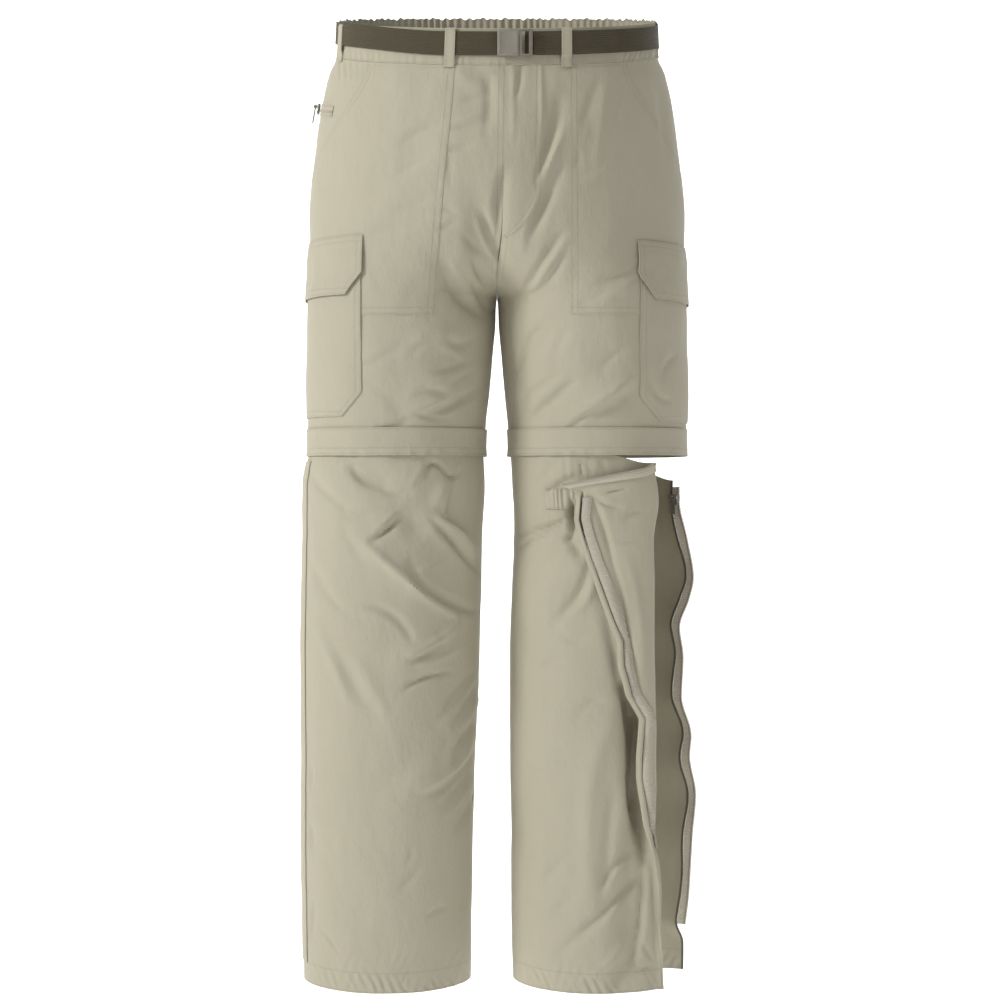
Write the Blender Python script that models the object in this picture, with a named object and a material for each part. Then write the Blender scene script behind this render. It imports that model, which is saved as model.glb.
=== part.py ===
"""Convertible zip-off trousers with a webbing belt, filled out as if worn, one lower leg part unzipped.

Metres, +Z up. The front faces -Y and the wearer's left leg is at +X. The origin is the centre of the waist.
Tables and sizes are in millimetres. A "level" is a height on the garment: near the waist a level is tilted,
because trousers are cut higher at the back than at the front.
"""

import math

import bmesh
import bpy
import numpy as np

MM = 0.001

# Driving sizes
SEAM = 0.3  # between neighbouring pieces
CLOTH = 1.4  # one wall of cloth
POCKET_LIFT = 1.7  # a front pocket stands off its front by this
PINCH = 0.012  # least turn between two columns of a laid piece
LAID = 1.1  # a piece laid on a panel stands off it by this
SQUARENESS = 2.15  # of the sections: 2 is an ellipse
WAIST_TOP = 15.0
WAIST_SEAM = -24.0
CROTCH = -297.0
INSEAM_TOP = -291.0  # from here down, a front's edge faces its back's
SHORTS_END = -460.0
LEG_TOP = -470.0
HEM = -1054.0
HEM_DIP = 5.0  # front and back of a hem hang lower than its sides
RIGHT, LEFT = -1, 1  # the wearer's right is at -X

# Horizontal sections of one side, mirrored for the other. Above the crotch the oval runs past the middle,
# so its inner edge is on the other side.
SECTION = ("level", "outer", "inner", "front", "back")
UPPER = (
    (15, 177, -177, -108, 110),
    (-24, 179.5, -179.5, -112, 116),
    (-45, 188, -188, -117, 126),
    (-75, 195.5, -195.5, -121, 138),
    (-120, 202.5, -202.5, -124, 150),
    (-165, 208, -205, -124, 155),
    (-200, 210.5, -182, -122, 153),
    (-235, 209.5, -118, -119, 147),
    (-262, 209, -62, -117, 140),
    (-280, 209, -26, -115, 135),
    (-292, 209, -6, -114, 131),
    (-297, 209, 0.2, -113.5, 130),
    (-330, 209.5, 1.8, -111, 122),
    (-364, 210, 5, -107, 114),
    (-400, 211, 8.3, -101, 107),
    (-430, 211.5, 11.5, -95, 101),
    (-475, 211, 14.5, -90, 96),
)
LOWER_RIGHT = (
    (-470, 210.5, 15, -89.5, 95.5),
    (-500, 216.5, 14, -90, 96),
    (-560, 217.5, 16.5, -87, 94),
    (-640, 218.5, 18.5, -83, 90),
    (-720, 219, 20.5, -80, 87),
    (-800, 218.5, 24, -78, 84),
    (-880, 218.5, 26.5, -76, 82),
    (-960, 218, 28, -74, 80),
    (-1054, 216, 29, -72, 78),
)
LOWER_LEFT = (
    (-470, 210.5, 15, -89.5, 95.5),
    (-500, 213, 17, -90, 96),
    (-560, 214, 19, -88, 94),
    (-640, 213, 16, -84, 90),
    (-720, 212, 14.5, -81, 87),
    (-800, 211, 14.5, -79, 84),
    (-880, 210, 16, -77, 82),
    (-960, 209, 15.5, -75, 80),
    (-1054, 207, 18, -73, 78),
)
# How far the front seam stands to the wearer's left of the middle: the hips are turned a little.
FRONT_SEAM_COLUMNS = ("level", "shift")
FRONT_SEAM = ((15, 10), (-24, 9), (-220, 6), (-290, 0), (-1100, 0))

FOLDS_STOP = 12.0  # the folds die away this near the middle seam and the inseam
# The largest folds, seen from the front: a straight ridge, or a trough where height is below 0.
FOLD = ("x0", "z0", "x1", "z1", "height", "width")
FOLDS_FRONT = (
    (-20, -200, -8, -300, -7, 15),
    (-60, -262, -22, -322, -5, 13),
    (-30, -335, -92, -358, 4, 12),
    (-24, -378, -88, -404, 4.5, 12),
    (-112, -160, -72, -132, -3, 14),
    (72, -84, 46, -160, -4, 12),
    (62, -176, 34, -236, -4, 12),
    (58, -330, 28, -378, -4, 13),
    (146, -384, 80, -432, 5, 15),
    (-160, -478, -108, -514, -5, 14),
    (-140, -570, -60, -635, 6, 15),
    (-104, -536, -74, -560, -5, 14),
    (-74, -540, -26, -586, 5, 13),
    (-104, -692, -62, -668, 4, 14),
    (-110, -842, -46, -800, 4, 15),
    (30, -570, 78, -540, -4, 14),
    (64, -650, 92, -600, -4, 16),
    (144, -730, 152, -840, -9, 13),
    (152, -860, 140, -1050, -9, 14),
)
FOLDS_BACK = (
    (20, -215, 10, -300, -6, 15),
    (-20, -215, -10, -300, -6, 15),
    (32, -345, 100, -320, 4, 14),
    (-30, -350, -96, -326, 4, 14),
    (60, -480, 150, -540, 5, 16),
    (-150, -500, -60, -560, 5, 16),
    (-60, -600, -150, -660, 4, 16),
    (70, -640, 150, -600, 4, 16),
)

# The unzipped leg: its front panel turns back on itself like a lapel, wide at the knee.
LAPEL = ("level", "fold", "turned", "radius", "run", "droop")
LAPEL_TABLE = (
    (-470, 167, 176, 4.6, 76, 33),
    (-520, 172, 178, 4.6, 80, 28),
    (-564, 167, 180, 4.6, 62, 24),
    (-611, 168, 180, 4.6, 47, 19),
    (-671, 168, 180, 4.6, 34, 13),
    (-735, 170, 180, 4.6, 20, 7),
    (-778, 172, 180, 4.6, 15, 4),
    (-820, 172, 180, 4.6, 18, 2),
    (-880, 171, 176, 4.6, 9, 0),
    (-920, 174, 120, 6, 6, 0),
    (-965, 178, 60, 8, 7, 0),
    (-1054, 183, 25, 10, 8, 0),
)
LAPEL_FOLLOWS = 88.0  # radius that the turned-back cloth keeps to, round the leg
LAPEL_LOOKS = 0.06  # angle over which the cloth's heading at the fold is taken
LEG_DEPTH = 170.0
BACK_EDGE_COLUMNS = ("level", "reach")
BACK_EDGE = (
    (-470, 210), (-521, 208), (-566, 217), (-610, 224), (-633, 219), (-666, 208), (-700, 212), (-745, 210),
    (-790, 221), (-812, 219), (-857, 226), (-902, 222), (-969, 218), (-1014, 213), (-1054, 212),
)

# Belt, loops and buckle
BELT_LOW, BELT_HIGH = -14.0, 11.0
WEBBING = 1.5
BELT_LIFT = 1.1
TAIL_LIFT = BELT_LIFT + WEBBING + SEAM
TAIL_NARROWER = 0.4
BELT_ENDS = (8.0, 30.0)  # x of the webbing's two ends, both behind the buckle
TAIL_END = 129.0
LOOP_WIDTH = 11.0
LOOP_CLOTH = 1.2
# Heights of a loop's bends: at the waistband's top, over the belt, and down to the waist seam
LOOP_END = -27.4
LOOP_ROWS = (WAIST_TOP - 0.2, WAIST_TOP - 1.0, BELT_HIGH + 0.8, BELT_LOW - 0.8, BELT_LOW - 4.5, LOOP_END)
FRONT_LOOPS = (("front_right", RIGHT, -50.0), ("front_left", LEFT, 74.0))  # name, side and x
OTHER_LOOPS = (  # name, side and turn
    ("side_right", RIGHT, 0.19),
    ("side_left", LEFT, -0.06),
    ("back_right", RIGHT, -0.66),
    ("back_left", LEFT, -0.6),
    ("back_middle", LEFT, -0.93),
)
BUCKLE_LIFT = BELT_LIFT + WEBBING + 0.8
SOCKET_X = (0.5, 23.5)
PLUG_X = (24.2, 38.5)
BUCKLE_HEIGHT = 29.0
BUCKLE_DEPTH = 5.5
SOCKET_ROUND, PLUG_ROUND, PLUG_SET_BACK = 1.2, 0.9, 1.0
WINDOW_MARGINS = (2.5, 4.2, 2.2)  # of the plug's window: before it, after it, and above and below it

# Front pockets: laid on the fronts, with a slanted mouth towards the side seam
POCKET_TOP, POCKET_END = -28.0, -322.0
POCKET_INNER = {RIGHT: (-45.0, -68.0), LEFT: (78.0, 79.0)}  # x at top and bottom
POCKET_MOUTH_TOP, POCKET_MOUTH_END = 142.0, -168.0  # x at the waist, level where the slant meets the side
POCKET_MOUTH_BOW, POCKET_SIDE_TURN = 1.3, 0.03  # how the mouth curves, and where it meets the side
FLY_WIDTH, FLY_END = 40.0, -240.0
FLY_FOOT, FLY_CLOTH = 45.0, 1.0  # height of the rounded foot, and the cloth's thickness

# Cargo pockets, on the side seams
CARGO_FRONT = {RIGHT: 146.0, LEFT: 154.0}  # distance of the front edge from the middle
CARGO_BACK = 180.0
CARGO_TOP, CARGO_END = -262.0, -430.0
CARGO_CORNER = (26.0, 22.0)  # height and width of the cut corners
CARGO_DROP = {RIGHT: 0.0, LEFT: 5.0}  # one hangs a little lower
CARGO_CLOTH = 2.4
CARGO_CROWN = 0.8
CARGO_CROWN_FROM = 90.0  # the crown rises over this height from the pocket's bottom
CARGO_BACK_CUT = 0.7  # share of a corner's cut on the back edge
# Where a front pocket lies under a cargo piece
OVER_POCKET_TURNS, OVER_POCKET_LEVELS = (-0.09, 0), (-352.0, -330.0)
FLAP_TOP, FLAP_END = -235.0, -299.0
FLAP_CORNER = (23.0, 17.0)
FLAP_WIDER = 2.5
FLAP_CLOTH = 1.5
FLAP_STANDS = 1.6  # the flap's lower edge springs out by this
FLAP_BENDS = 6.0  # above the pocket's top edge

# Knee flaps, which cover the knee zips, and the zips
KNEE_FLAP_TOP, KNEE_FLAP_END = -442.0, -472.0
KNEE_FLAP_STANDS = (0, 0, 0.3, 0.8)
TAPE = 1.2
TAPE_WIDTH = 11.0
SIDE_PLACKET = (-0.02, 0.13)  # turns of the strip that covers the closed side zip
PLACKET_TOP, PLACKET_CLOTH = -478.0, 1.2
HIP_ZIP_LEVEL, HIP_ZIP_TURNS, HIP_ZIP_HEIGHT = -84.0, (0.27, -0.3), 13.0

KNEE_ZIP_CLOSED = (0.5, -0.62)  # turns between which the open leg's knee zip is still closed
SEWN_LIFT = 0.45  # tapes stand off what they are sewn to by this
TAB_ROWS, TAB_X = (-509.0, -519.0, -530.0), (53.0, 86.0)  # the puckered end of the undone knee zip
TAB_PUCKER = 0.8
BACK_STOPS, BACK_DROP = 0.2, 28.0  # turn where the open back ends, and how far its corner hangs
BACK_DROP_END, BACK_LOOSE = -560.0, -0.48  # level and turn at which the loose back edge starts to move
FRONT_DROP, FRONT_DROP_END = 10.0, -540.0  # of the front's top edge at the fold
TAPE_END = -1000.0
TAPE_FADES = 25.0
KNEE_TAPE_WIDTH = 9.0
TAPE_TURNS_IN = 5.0
TAPE_LIP = 4.0
FRONT_TAPE_ROWS = 13

# Zip sliders and pulls
SLIDER = (9.6, 2.8, 12.0)  # width, thickness, length
SLIDER_ROUND = 0.7
BAR_OFF, BAR_RADIUS, BAR_UP = 2.5, 0.8, 2.2  # the bar that holds the pull: off the slider's face, and up it
POST, POST_GAP = 1.3, 0.4
POST_HALF, BAR_SIDES, EYE_POINTS = 1.2, 10, 11
PULL_WIDTH, PULL_LENGTH, PULL_THICK = 6.0, 19.0, 1.2
EYE_IN, EYE_OUT = 1.15, 2.05

# Heights at which the panels have their rows, and how many columns they have
UPPER_ROWS = np.array([
    WAIST_SEAM - SEAM, -45, -72, -102, -135, -168, -200, -228, -252, -270, -285, CROTCH, -312, -334,
    -360, -386, -412, -438, SHORTS_END,
])
LOWER_ROWS = np.array([
    LEG_TOP - SEAM, -488, -512, -540, -570, -602, -636, -674, -716, -760, -806, -854, -902, -952, -1003,
    -1032, HEM,
])
COLUMNS = 12
# Columns of the open front: on the leg, round the fold and turned back
ARC_COLUMNS, TURN_COLUMNS, RUN_COLUMNS = 11, 5, 5
# Columns of a quarter of the belt, of half a knee flap and of half a knee zip
BELT_COLUMNS, KNEE_COLUMNS, ZIP_COLUMNS = 16, 20, 18
WAISTBAND_SIDE = 0.12  # turn of the seam between the waistband's front and back
GATHERS, GATHER_DEPTH, GATHER_COLUMNS = 24, 0.9, 4
SEAM_TURN = 0.00125
LEG_MIDDLE, BODY_MIDDLE = 112.0, 8.0  # x of a leg's middle, y of the body's

COLOURS = {
    "cloth": ((0.50, 0.46, 0.35, 1), 0.85, 0.0),
    "tape": ((0.50, 0.45, 0.36, 1), 0.8, 0.0),
    "webbing": ((0.075, 0.06, 0.04, 1), 0.9, 0.0),
    "buckle_plastic": ((0.27, 0.245, 0.2, 1), 0.45, 0.0),
    "zip_metal": ((0.25, 0.25, 0.25, 1), 0.35, 1.0),
}


def clear_scene():
    for item in list(bpy.data.objects):
        bpy.data.objects.remove(item)


def material(name):
    found = bpy.data.materials.get(name)
    if found:
        return found
    colour, roughness, metallic = COLOURS[name]
    found = bpy.data.materials.new(name)
    found.use_nodes = True
    shader = found.node_tree.nodes["Principled BSDF"]
    shader.inputs["Base Color"].default_value = colour
    shader.inputs["Roughness"].default_value = roughness
    shader.inputs["Metallic"].default_value = metallic
    return found


# Tables and small sums


def column(table, names, name):
    """One named column of a table, with its levels rising."""
    rows = np.array(table, float)
    rows = rows[np.argsort(rows[:, 0])]
    return rows[:, 0], rows[:, names.index(name)]


def smooth_read(knots, values, at):
    """Monotone cubic through a table's values, so that a curve never swings past them."""
    step = np.diff(knots)
    rise = np.diff(values) / step
    slope = np.zeros_like(values)
    slope[0], slope[-1] = rise[0], rise[-1]
    both = rise[:-1] * rise[1:] > 0
    near, far = 2 * step[1:] + step[:-1], step[1:] + 2 * step[:-1]
    before, after = np.where(both, rise[:-1], 1.0), np.where(both, rise[1:], 1.0)
    slope[1:-1] = np.where(both, (near + far) / (near / before + far / after), 0.0)
    at = np.clip(np.asarray(at, float), knots[0], knots[-1])
    index = np.clip(np.searchsorted(knots, at) - 1, 0, len(step) - 1)
    share = (at - knots[index]) / step[index]
    return (
        values[index] * (1 + 2 * share) * (1 - share) ** 2
        + slope[index] * step[index] * share * (1 - share) ** 2
        + values[index + 1] * share**2 * (3 - 2 * share)
        + slope[index + 1] * step[index] * share**2 * (share - 1)
    )


def read(table, names, name, at):
    return smooth_read(*column(table, names, name), at)


def ease(low, high, at):
    """0 below low, 1 above high and smooth between."""
    share = np.clip((np.asarray(at, float) - low) / (high - low), 0, 1)
    return share * share * (3 - 2 * share)


def spread(first, last, count):
    return np.linspace(first, last, count)


# The garment's surface


def section(table, level):
    """Middle and half sizes of the section at a level."""
    outer, inner, front, back = (read(table, SECTION, name, level) for name in SECTION[1:])
    return (outer + inner) / 2, (front + back) / 2, (outer - inner) / 2, (back - front) / 2


def front_seam(level):
    return read(FRONT_SEAM, FRONT_SEAM_COLUMNS, "shift", level)


def end_angle(side, table, level, front):
    """Angle from the side seam to the middle seam above the crotch, or to the inseam below it."""
    middle, _, half, depth = section(table, level)
    cut = np.where(front, side * front_seam(level), 0.0)
    share = np.clip((cut - middle) / half, -1, 1)
    angle = np.arccos(np.sign(share) * np.abs(share) ** (SQUARENESS / 2))
    return np.minimum(angle, math.pi - SEAM / 2 / depth)


def fold_height(x, z, front):
    """How far the folds lift the cloth at a place seen from the front or the back."""
    total = np.zeros(np.broadcast(x, z).shape)
    for folds, on in ((FOLDS_FRONT, front), (FOLDS_BACK, ~front)):
        for row in folds:
            x0, z0, x1, z1, height, width = (row[FOLD.index(name)] for name in FOLD)
            along = np.array([x1 - x0, z1 - z0])
            share = ((x - x0) * along[0] + (z - z0) * along[1]) / (along @ along)
            near = np.clip(share, 0, 1)
            away = np.hypot(x - x0 - near * along[0], z - z0 - near * along[1])
            taper = 0.35 + 0.65 * np.sin(math.pi * near)
            total += np.where(on, height * taper * np.exp(-((away / width) ** 2)), 0.0)
    return total


def tilt(level, y):
    """How far the waist's tilt and the hem's dip move a point of a level up or down."""
    at_waist = ease(-215, WAIST_SEAM, level) * (28 * (y / 110) - 2 * (y / 110) ** 2)
    dip = -HEM_DIP * ease(-HEM - 120, -HEM, -level) * np.minimum((y / 75) ** 2, 1)
    return at_waist + dip


def place(side, table, level, angle, front):
    """A point of the surface, from its level and its angle round from the side seam."""
    middle, middle_y, half, depth = section(table, level)
    across = np.sign(np.cos(angle)) * np.abs(np.cos(angle)) ** (2 / SQUARENESS)
    forward = np.abs(np.sin(angle)) ** (2 / SQUARENESS) * np.where(front, -1, 1)
    x, y = middle + half * across, middle_y + depth * forward
    z = level + tilt(level, y)
    seam = np.maximum(middle - half, np.where(front, side * front_seam(level), 0.0))
    lift = fold_height(side * x, z, front) * ease(0, FOLDS_STOP, x - seam)
    out_x, out_y = across / half, forward / depth
    size = np.hypot(out_x, out_y)
    return np.stack([side * (x + lift * out_x / size), y + lift * out_y / size, z], axis=-1)


def surface(side, table, level, turn):
    """turn runs from 0 at the side seam to 1 at the front's inner seam, or to -1 at the back's."""
    level, turn = np.broadcast_arrays(np.asarray(level, float), np.asarray(turn, float))
    front = turn >= 0
    return place(side, table, level, np.abs(turn) * end_angle(side, table, level, front), front)


def turn_at(side, level, x, table=None, front=True):
    """The turn at which a section passes x, on its front or its back."""
    table = UPPER if table is None else table
    middle, _, half, _ = section(table, level)
    share = np.clip((side * x - middle) / half, -1, 1)
    angle = np.arccos(np.sign(share) * np.abs(share) ** (SQUARENESS / 2))
    turn = angle / end_angle(side, table, level, np.full(np.shape(level), front))
    return turn if front else -turn


def fitted(columns, first, last):
    """A panel's own turns, squeezed between a laid piece's edges, so that it bends where the panel does."""
    first, last = np.asarray(first, float), np.asarray(last, float)
    base = spread(-1, 1, 2 * columns - 1)
    inside = base[(base > first.min() + PINCH) & (base < last.max() - PINCH)]
    order = np.arange(len(inside) + 2)
    turns = np.concatenate([[first.min()], inside, [last.max()]])
    low, high = first[:, None] + order * PINCH, last[:, None] - order[::-1] * PINCH
    turns = np.clip(np.broadcast_to(turns, low.shape), low, high)
    turns[:, 0], turns[:, -1] = first, last
    return turns


def rows_between(rows, top, end, more=()):
    """A panel's own rows between a laid piece's top and end, with the piece's own added."""
    inside = [row for row in rows if end + 3 < row < top - 3]
    return np.array(sorted({top, end, *inside, *more}, reverse=True), float)


# Solids


def normals(points):
    """Outward direction at each point of a grid of rows and columns."""
    found = np.cross(np.gradient(points, axis=1), np.gradient(points, axis=0))
    found /= np.maximum(np.linalg.norm(found, axis=-1, keepdims=True), 1e-9)
    across = points[..., 0].mean()
    if abs(across) > LEG_MIDDLE / 2:
        across = math.copysign(LEG_MIDDLE, across)
    middle = np.array([across, BODY_MIDDLE])
    facing = ((points[..., :2] - middle) * found[..., :2]).sum()
    return found if facing > 0 else -found


def ring_normals(points):
    padded = np.concatenate([points[:, -1:], points, points[:, :1]], axis=1)
    return normals(padded)[:, 1:-1]


def add_mesh(name, points, faces, colour):
    """An object from points in millimetres, its faces turned outwards."""
    mesh = bpy.data.meshes.new(name)
    mesh.from_pydata([tuple(p * MM) for p in points], [], [list(f) for f in faces])
    work = bmesh.new()
    work.from_mesh(mesh)
    bmesh.ops.recalc_face_normals(work, faces=work.faces)
    work.to_mesh(mesh)
    work.free()
    mesh.shade_smooth()
    mesh.set_sharp_from_angle(angle=math.radians(40))
    mesh.materials.append(material(colour))
    made = bpy.data.objects.new(name, mesh)
    bpy.context.scene.collection.objects.link(made)
    return made


def wall(name, low, high, colour="cloth", ring=False):
    """A closed solid between two grids of points. A ring joins its last column to its first."""
    rows, columns = low.shape[:2]
    layer = rows * columns
    number = np.arange(layer).reshape(rows, columns)
    if ring:
        number = np.concatenate([number, number[:, :1]], axis=1)
    a, b, c, d = number[:-1, :-1], number[:-1, 1:], number[1:, 1:], number[1:, :-1]
    quads = np.stack([a, b, c, d], axis=-1).reshape(-1, 4)
    faces = [quads + layer, quads[:, ::-1]]
    edges = [number[0], number[-1][::-1]]
    if not ring:
        edges += [number[::-1, 0], number[:, -1]]
    for edge in edges:
        faces.append(np.stack([edge[1:], edge[:-1], edge[:-1] + layer, edge[1:] + layer], axis=-1))
    points = np.concatenate([low.reshape(-1, 3), high.reshape(-1, 3)])
    return add_mesh(name, points, np.concatenate(faces), colour)


def laid(name, points, low, high, colour="cloth", ring=False):
    """A wall that stands between two lifts off a grid of surface points."""
    out = ring_normals(points) if ring else normals(points)
    low, high = (np.broadcast_to(v, points.shape[:2])[..., None] for v in (low, high))
    return wall(name, points + out * low, points + out * high, colour, ring)


# The shorts


def keep_to_side(side, grids, seam_x):
    """Stops grids of points half a seam short of the middle seam."""
    for grid in grids:
        grid[..., 0] = side * np.maximum(side * grid[..., 0], side * seam_x + SEAM / 2)


def upper_panel(name, side, front):
    """A front or back of the shorts, from the side seam to the middle seam and the inseam."""
    sign = 1 if front else -1
    turns = sign * spread(SEAM_TURN, 1, COLUMNS)
    points = surface(side, UPPER, UPPER_ROWS[:, None], turns[None, :])
    low, high = points - normals(points) * CLOTH, points.copy()
    keep_to_side(side, (low, high), front_seam(UPPER_ROWS)[:, None] if front else 0.0)
    inseam = UPPER_ROWS <= INSEAM_TOP
    seam_y = section(UPPER, UPPER_ROWS[inseam])[1]
    low[inseam, -1, 1] = seam_y - sign * np.maximum(sign * (seam_y - low[inseam, -1, 1]), SEAM / 2)
    return wall(name, low, high)


def front_pocket(name, side):
    """Patch pocket on a front, sewn in along the waist; its mouth slants from the waist to the side seam."""
    rows = rows_between(UPPER_ROWS, POCKET_TOP, POCKET_END)
    inner = np.interp(rows, (POCKET_END, POCKET_TOP), POCKET_INNER[side][::-1])
    mouth_turn = turn_at(side, rows, np.full(rows.shape, side * POCKET_MOUTH_TOP))
    slant = np.clip((POCKET_TOP - rows) / (POCKET_TOP - POCKET_MOUTH_END), 0, 1)
    slant = slant**POCKET_MOUTH_BOW
    outer_turn = mouth_turn * (1 - slant) + POCKET_SIDE_TURN * slant
    turns = fitted(COLUMNS, outer_turn, turn_at(side, rows, inner))
    points = surface(side, UPPER, rows[:, None], turns)
    return laid(name, points, POCKET_LIFT, POCKET_LIFT + CLOTH)


def fly(name):
    """The placket over the front fastening, with a rounded foot."""
    rows = rows_between(UPPER_ROWS, WAIST_SEAM - SEAM, FLY_END, (FLY_END + 3, FLY_END + 12))
    shift = front_seam(rows)
    foot = np.sqrt(np.clip((rows - FLY_END) / FLY_FOOT, 0.02, 1))
    inner = turn_at(LEFT, rows, shift + 2 * SEAM)
    outer = turn_at(LEFT, rows, shift + 2 * SEAM + FLY_WIDTH * foot)
    points = surface(LEFT, UPPER, rows[:, None], fitted(COLUMNS, outer, inner))
    return laid(name, points, POCKET_LIFT, POCKET_LIFT + FLY_CLOTH)


def cargo_turns(side, rows, end, corner, wider=0.0):
    """Turns of a cargo piece at each row, between edges drawn in where its lower corners are cut."""
    high, wide = corner
    cut_in = np.clip((end + high - rows) / high, 0, 1) * wide
    front = turn_at(side, rows, side * (CARGO_FRONT[side] - wider + cut_in))
    back = turn_at(side, rows, side * (CARGO_BACK - wider + cut_in * CARGO_BACK_CUT), front=False)
    return fitted(COLUMNS, back, front)


def over_front_pocket(rows, turns):
    """How far the front pocket underneath lifts a cargo piece."""
    lift = POCKET_LIFT + CLOTH + 2 * SEAM + 0.2 - LAID
    low, high = OVER_POCKET_LEVELS
    return lift * ease(*OVER_POCKET_TURNS, turns) * ease(low, high, rows)[:, None]


def cargo_pocket(name, side):
    end = CARGO_END - CARGO_DROP[side]
    rows = rows_between(UPPER_ROWS, CARGO_TOP, end, (end + CARGO_CORNER[0],))
    turns = cargo_turns(side, rows, end, CARGO_CORNER)
    share = (turns - turns[:, :1]) / (turns[:, -1:] - turns[:, :1])
    crown = CARGO_CROWN * np.sin(math.pi * share) * ease(end, end + CARGO_CROWN_FROM, rows)[:, None]
    lift = LAID + crown + over_front_pocket(rows, turns)
    return laid(name, surface(side, UPPER, rows[:, None], turns), lift, lift + CARGO_CLOTH)


def cargo_flap(name, side):
    """The flap, sewn on above its pocket. It passes over the pocket's top edge and springs out below."""
    top, end = FLAP_TOP - CARGO_DROP[side], FLAP_END - CARGO_DROP[side]
    rows = rows_between(UPPER_ROWS, top, end, (CARGO_TOP + FLAP_BENDS, end + FLAP_CORNER[0]))
    turns = cargo_turns(side, rows, end, FLAP_CORNER, FLAP_WIDER)
    over = CARGO_CROWN + CARGO_CLOTH + SEAM + 0.2
    down = np.clip((top - rows) / (top - CARGO_TOP - FLAP_BENDS), 0, 1)
    springs = FLAP_STANDS * ease(0, CARGO_TOP - end, CARGO_TOP - rows)
    lift = LAID + (over * down + springs)[:, None] + over_front_pocket(rows, turns)
    return laid(name, surface(side, UPPER, rows[:, None], turns), lift, lift + FLAP_CLOTH)


def waistband_front(name, side):
    rows = spread(WAIST_TOP, WAIST_SEAM, 4)
    points = surface(side, UPPER, rows[:, None], spread(WAISTBAND_SIDE, 1, 18)[None, :])
    low, high = points - normals(points) * CLOTH, points.copy()
    keep_to_side(side, (low, high), front_seam(rows)[:, None])
    return wall(name, low, high)


def waistband_back(name):
    """The elastic back of the waistband, gathered from side to side."""
    rows = np.array([WAIST_TOP, WAIST_SEAM])
    start = WAISTBAND_SIDE - 2 * SEAM_TURN
    half = np.concatenate([spread(start, 0.0, 9)[:-1], spread(0.0, -1.0, GATHERS * GATHER_COLUMNS // 2 - 8)])
    right = surface(RIGHT, UPPER, rows[:, None], half[None, :])
    left = surface(LEFT, UPPER, rows[:, None], half[::-1][None, :])
    points = np.concatenate([right, left[:, 1:]], axis=1)
    wave = np.cos(math.tau * np.arange(points.shape[1]) / GATHER_COLUMNS)
    lift = GATHER_DEPTH * (wave - 0.55)
    lift[[0, -1]] = 0.0
    return laid(name, points, lift - CLOTH, lift)


# The belt


def belt(name):
    """Webbing round the waist from one side of the buckle to the other."""
    rows = np.array([BELT_HIGH, BELT_LOW])
    first, last = BELT_ENDS
    start = float(turn_at(RIGHT, np.array(0.0), np.array(first)))
    stop = float(turn_at(LEFT, np.array(0.0), np.array(last)))
    behind = spread(0.0, -1.0, BELT_COLUMNS)
    right = np.concatenate([spread(start, 0.0, BELT_COLUMNS), behind[1:]])
    left = np.concatenate([behind[-2:0:-1], spread(0.0, stop, BELT_COLUMNS - 1)])
    points = [surface(side, UPPER, rows[:, None], turns) for side, turns in ((RIGHT, right), (LEFT, left))]
    points = np.concatenate(points, axis=1)
    return laid(name, points, BELT_LIFT, BELT_LIFT + WEBBING, "webbing")


def belt_tail(name):
    """The webbing's free end, laid back over the belt from the buckle."""
    rows = np.array([BELT_HIGH - TAIL_NARROWER, BELT_LOW + TAIL_NARROWER])
    turns = turn_at(LEFT, np.zeros(11), spread(PLUG_X[1] + 2 * SEAM, TAIL_END, 11))
    points = surface(LEFT, UPPER, rows[:, None], turns[None, :])
    return laid(name, points, TAIL_LIFT, TAIL_LIFT + WEBBING, "webbing")


def belt_loop(name, side, turn, over):
    """A strip from the waistband's top, over the belt, to just under the waist seam."""
    rows = np.array(LOOP_ROWS)
    lift = np.array([LAID, LAID, over, over, LAID, LAID])[:, None]
    edges = surface(side, UPPER, np.zeros(2), np.array([turn - 0.01, turn + 0.01]))
    half = LOOP_WIDTH * 0.01 / np.linalg.norm(edges[1] - edges[0])
    turns = turn + np.array([half, 0, -half])
    points = surface(side, UPPER, rows[:, None], turns[None, :])
    return laid(name, points, lift, lift + LOOP_CLOTH)


def belt_loops():
    over_tail = TAIL_LIFT + WEBBING + SEAM
    for name, side, x in FRONT_LOOPS:
        turn = float(turn_at(side, np.array(0.0), np.array(x)))
        belt_loop("belt_loop_" + name, side, turn, over_tail if side == LEFT else TAIL_LIFT)
    for name, side, turn in OTHER_LOOPS:
        belt_loop("belt_loop_" + name, side, turn, TAIL_LIFT)


def block(name, low, high, colour, bevel=0.8, segments=2, frame=None, at=(0, 0, 0)):
    """A box between two corners, its edges rounded, in its own frame of three directions if one is given."""
    work = bmesh.new()
    bmesh.ops.create_cube(work, size=1.0)
    low, high = np.array(low), np.array(high)
    for corner in work.verts:
        local = low + (np.array(corner.co) + 0.5) * (high - low)
        corner.co = (local if frame is None else at + frame.T @ local) * MM
    bmesh.ops.recalc_face_normals(work, faces=work.faces)
    mesh = bpy.data.meshes.new(name)
    work.to_mesh(mesh)
    work.free()
    made = bpy.data.objects.new(name, mesh)
    mesh.materials.append(material(colour))
    bpy.context.scene.collection.objects.link(made)
    if bevel:
        rounding = made.modifiers.new("rounding", "BEVEL")
        rounding.width = bevel * MM
        rounding.segments = segments
    return made


def cut(made, cutter, operation="DIFFERENCE"):
    cutter.hide_render = True
    cutter.display_type = "WIRE"
    opening = made.modifiers.new("opening", "BOOLEAN")
    opening.operation = operation
    opening.solver = "EXACT"
    opening.object = cutter


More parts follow.
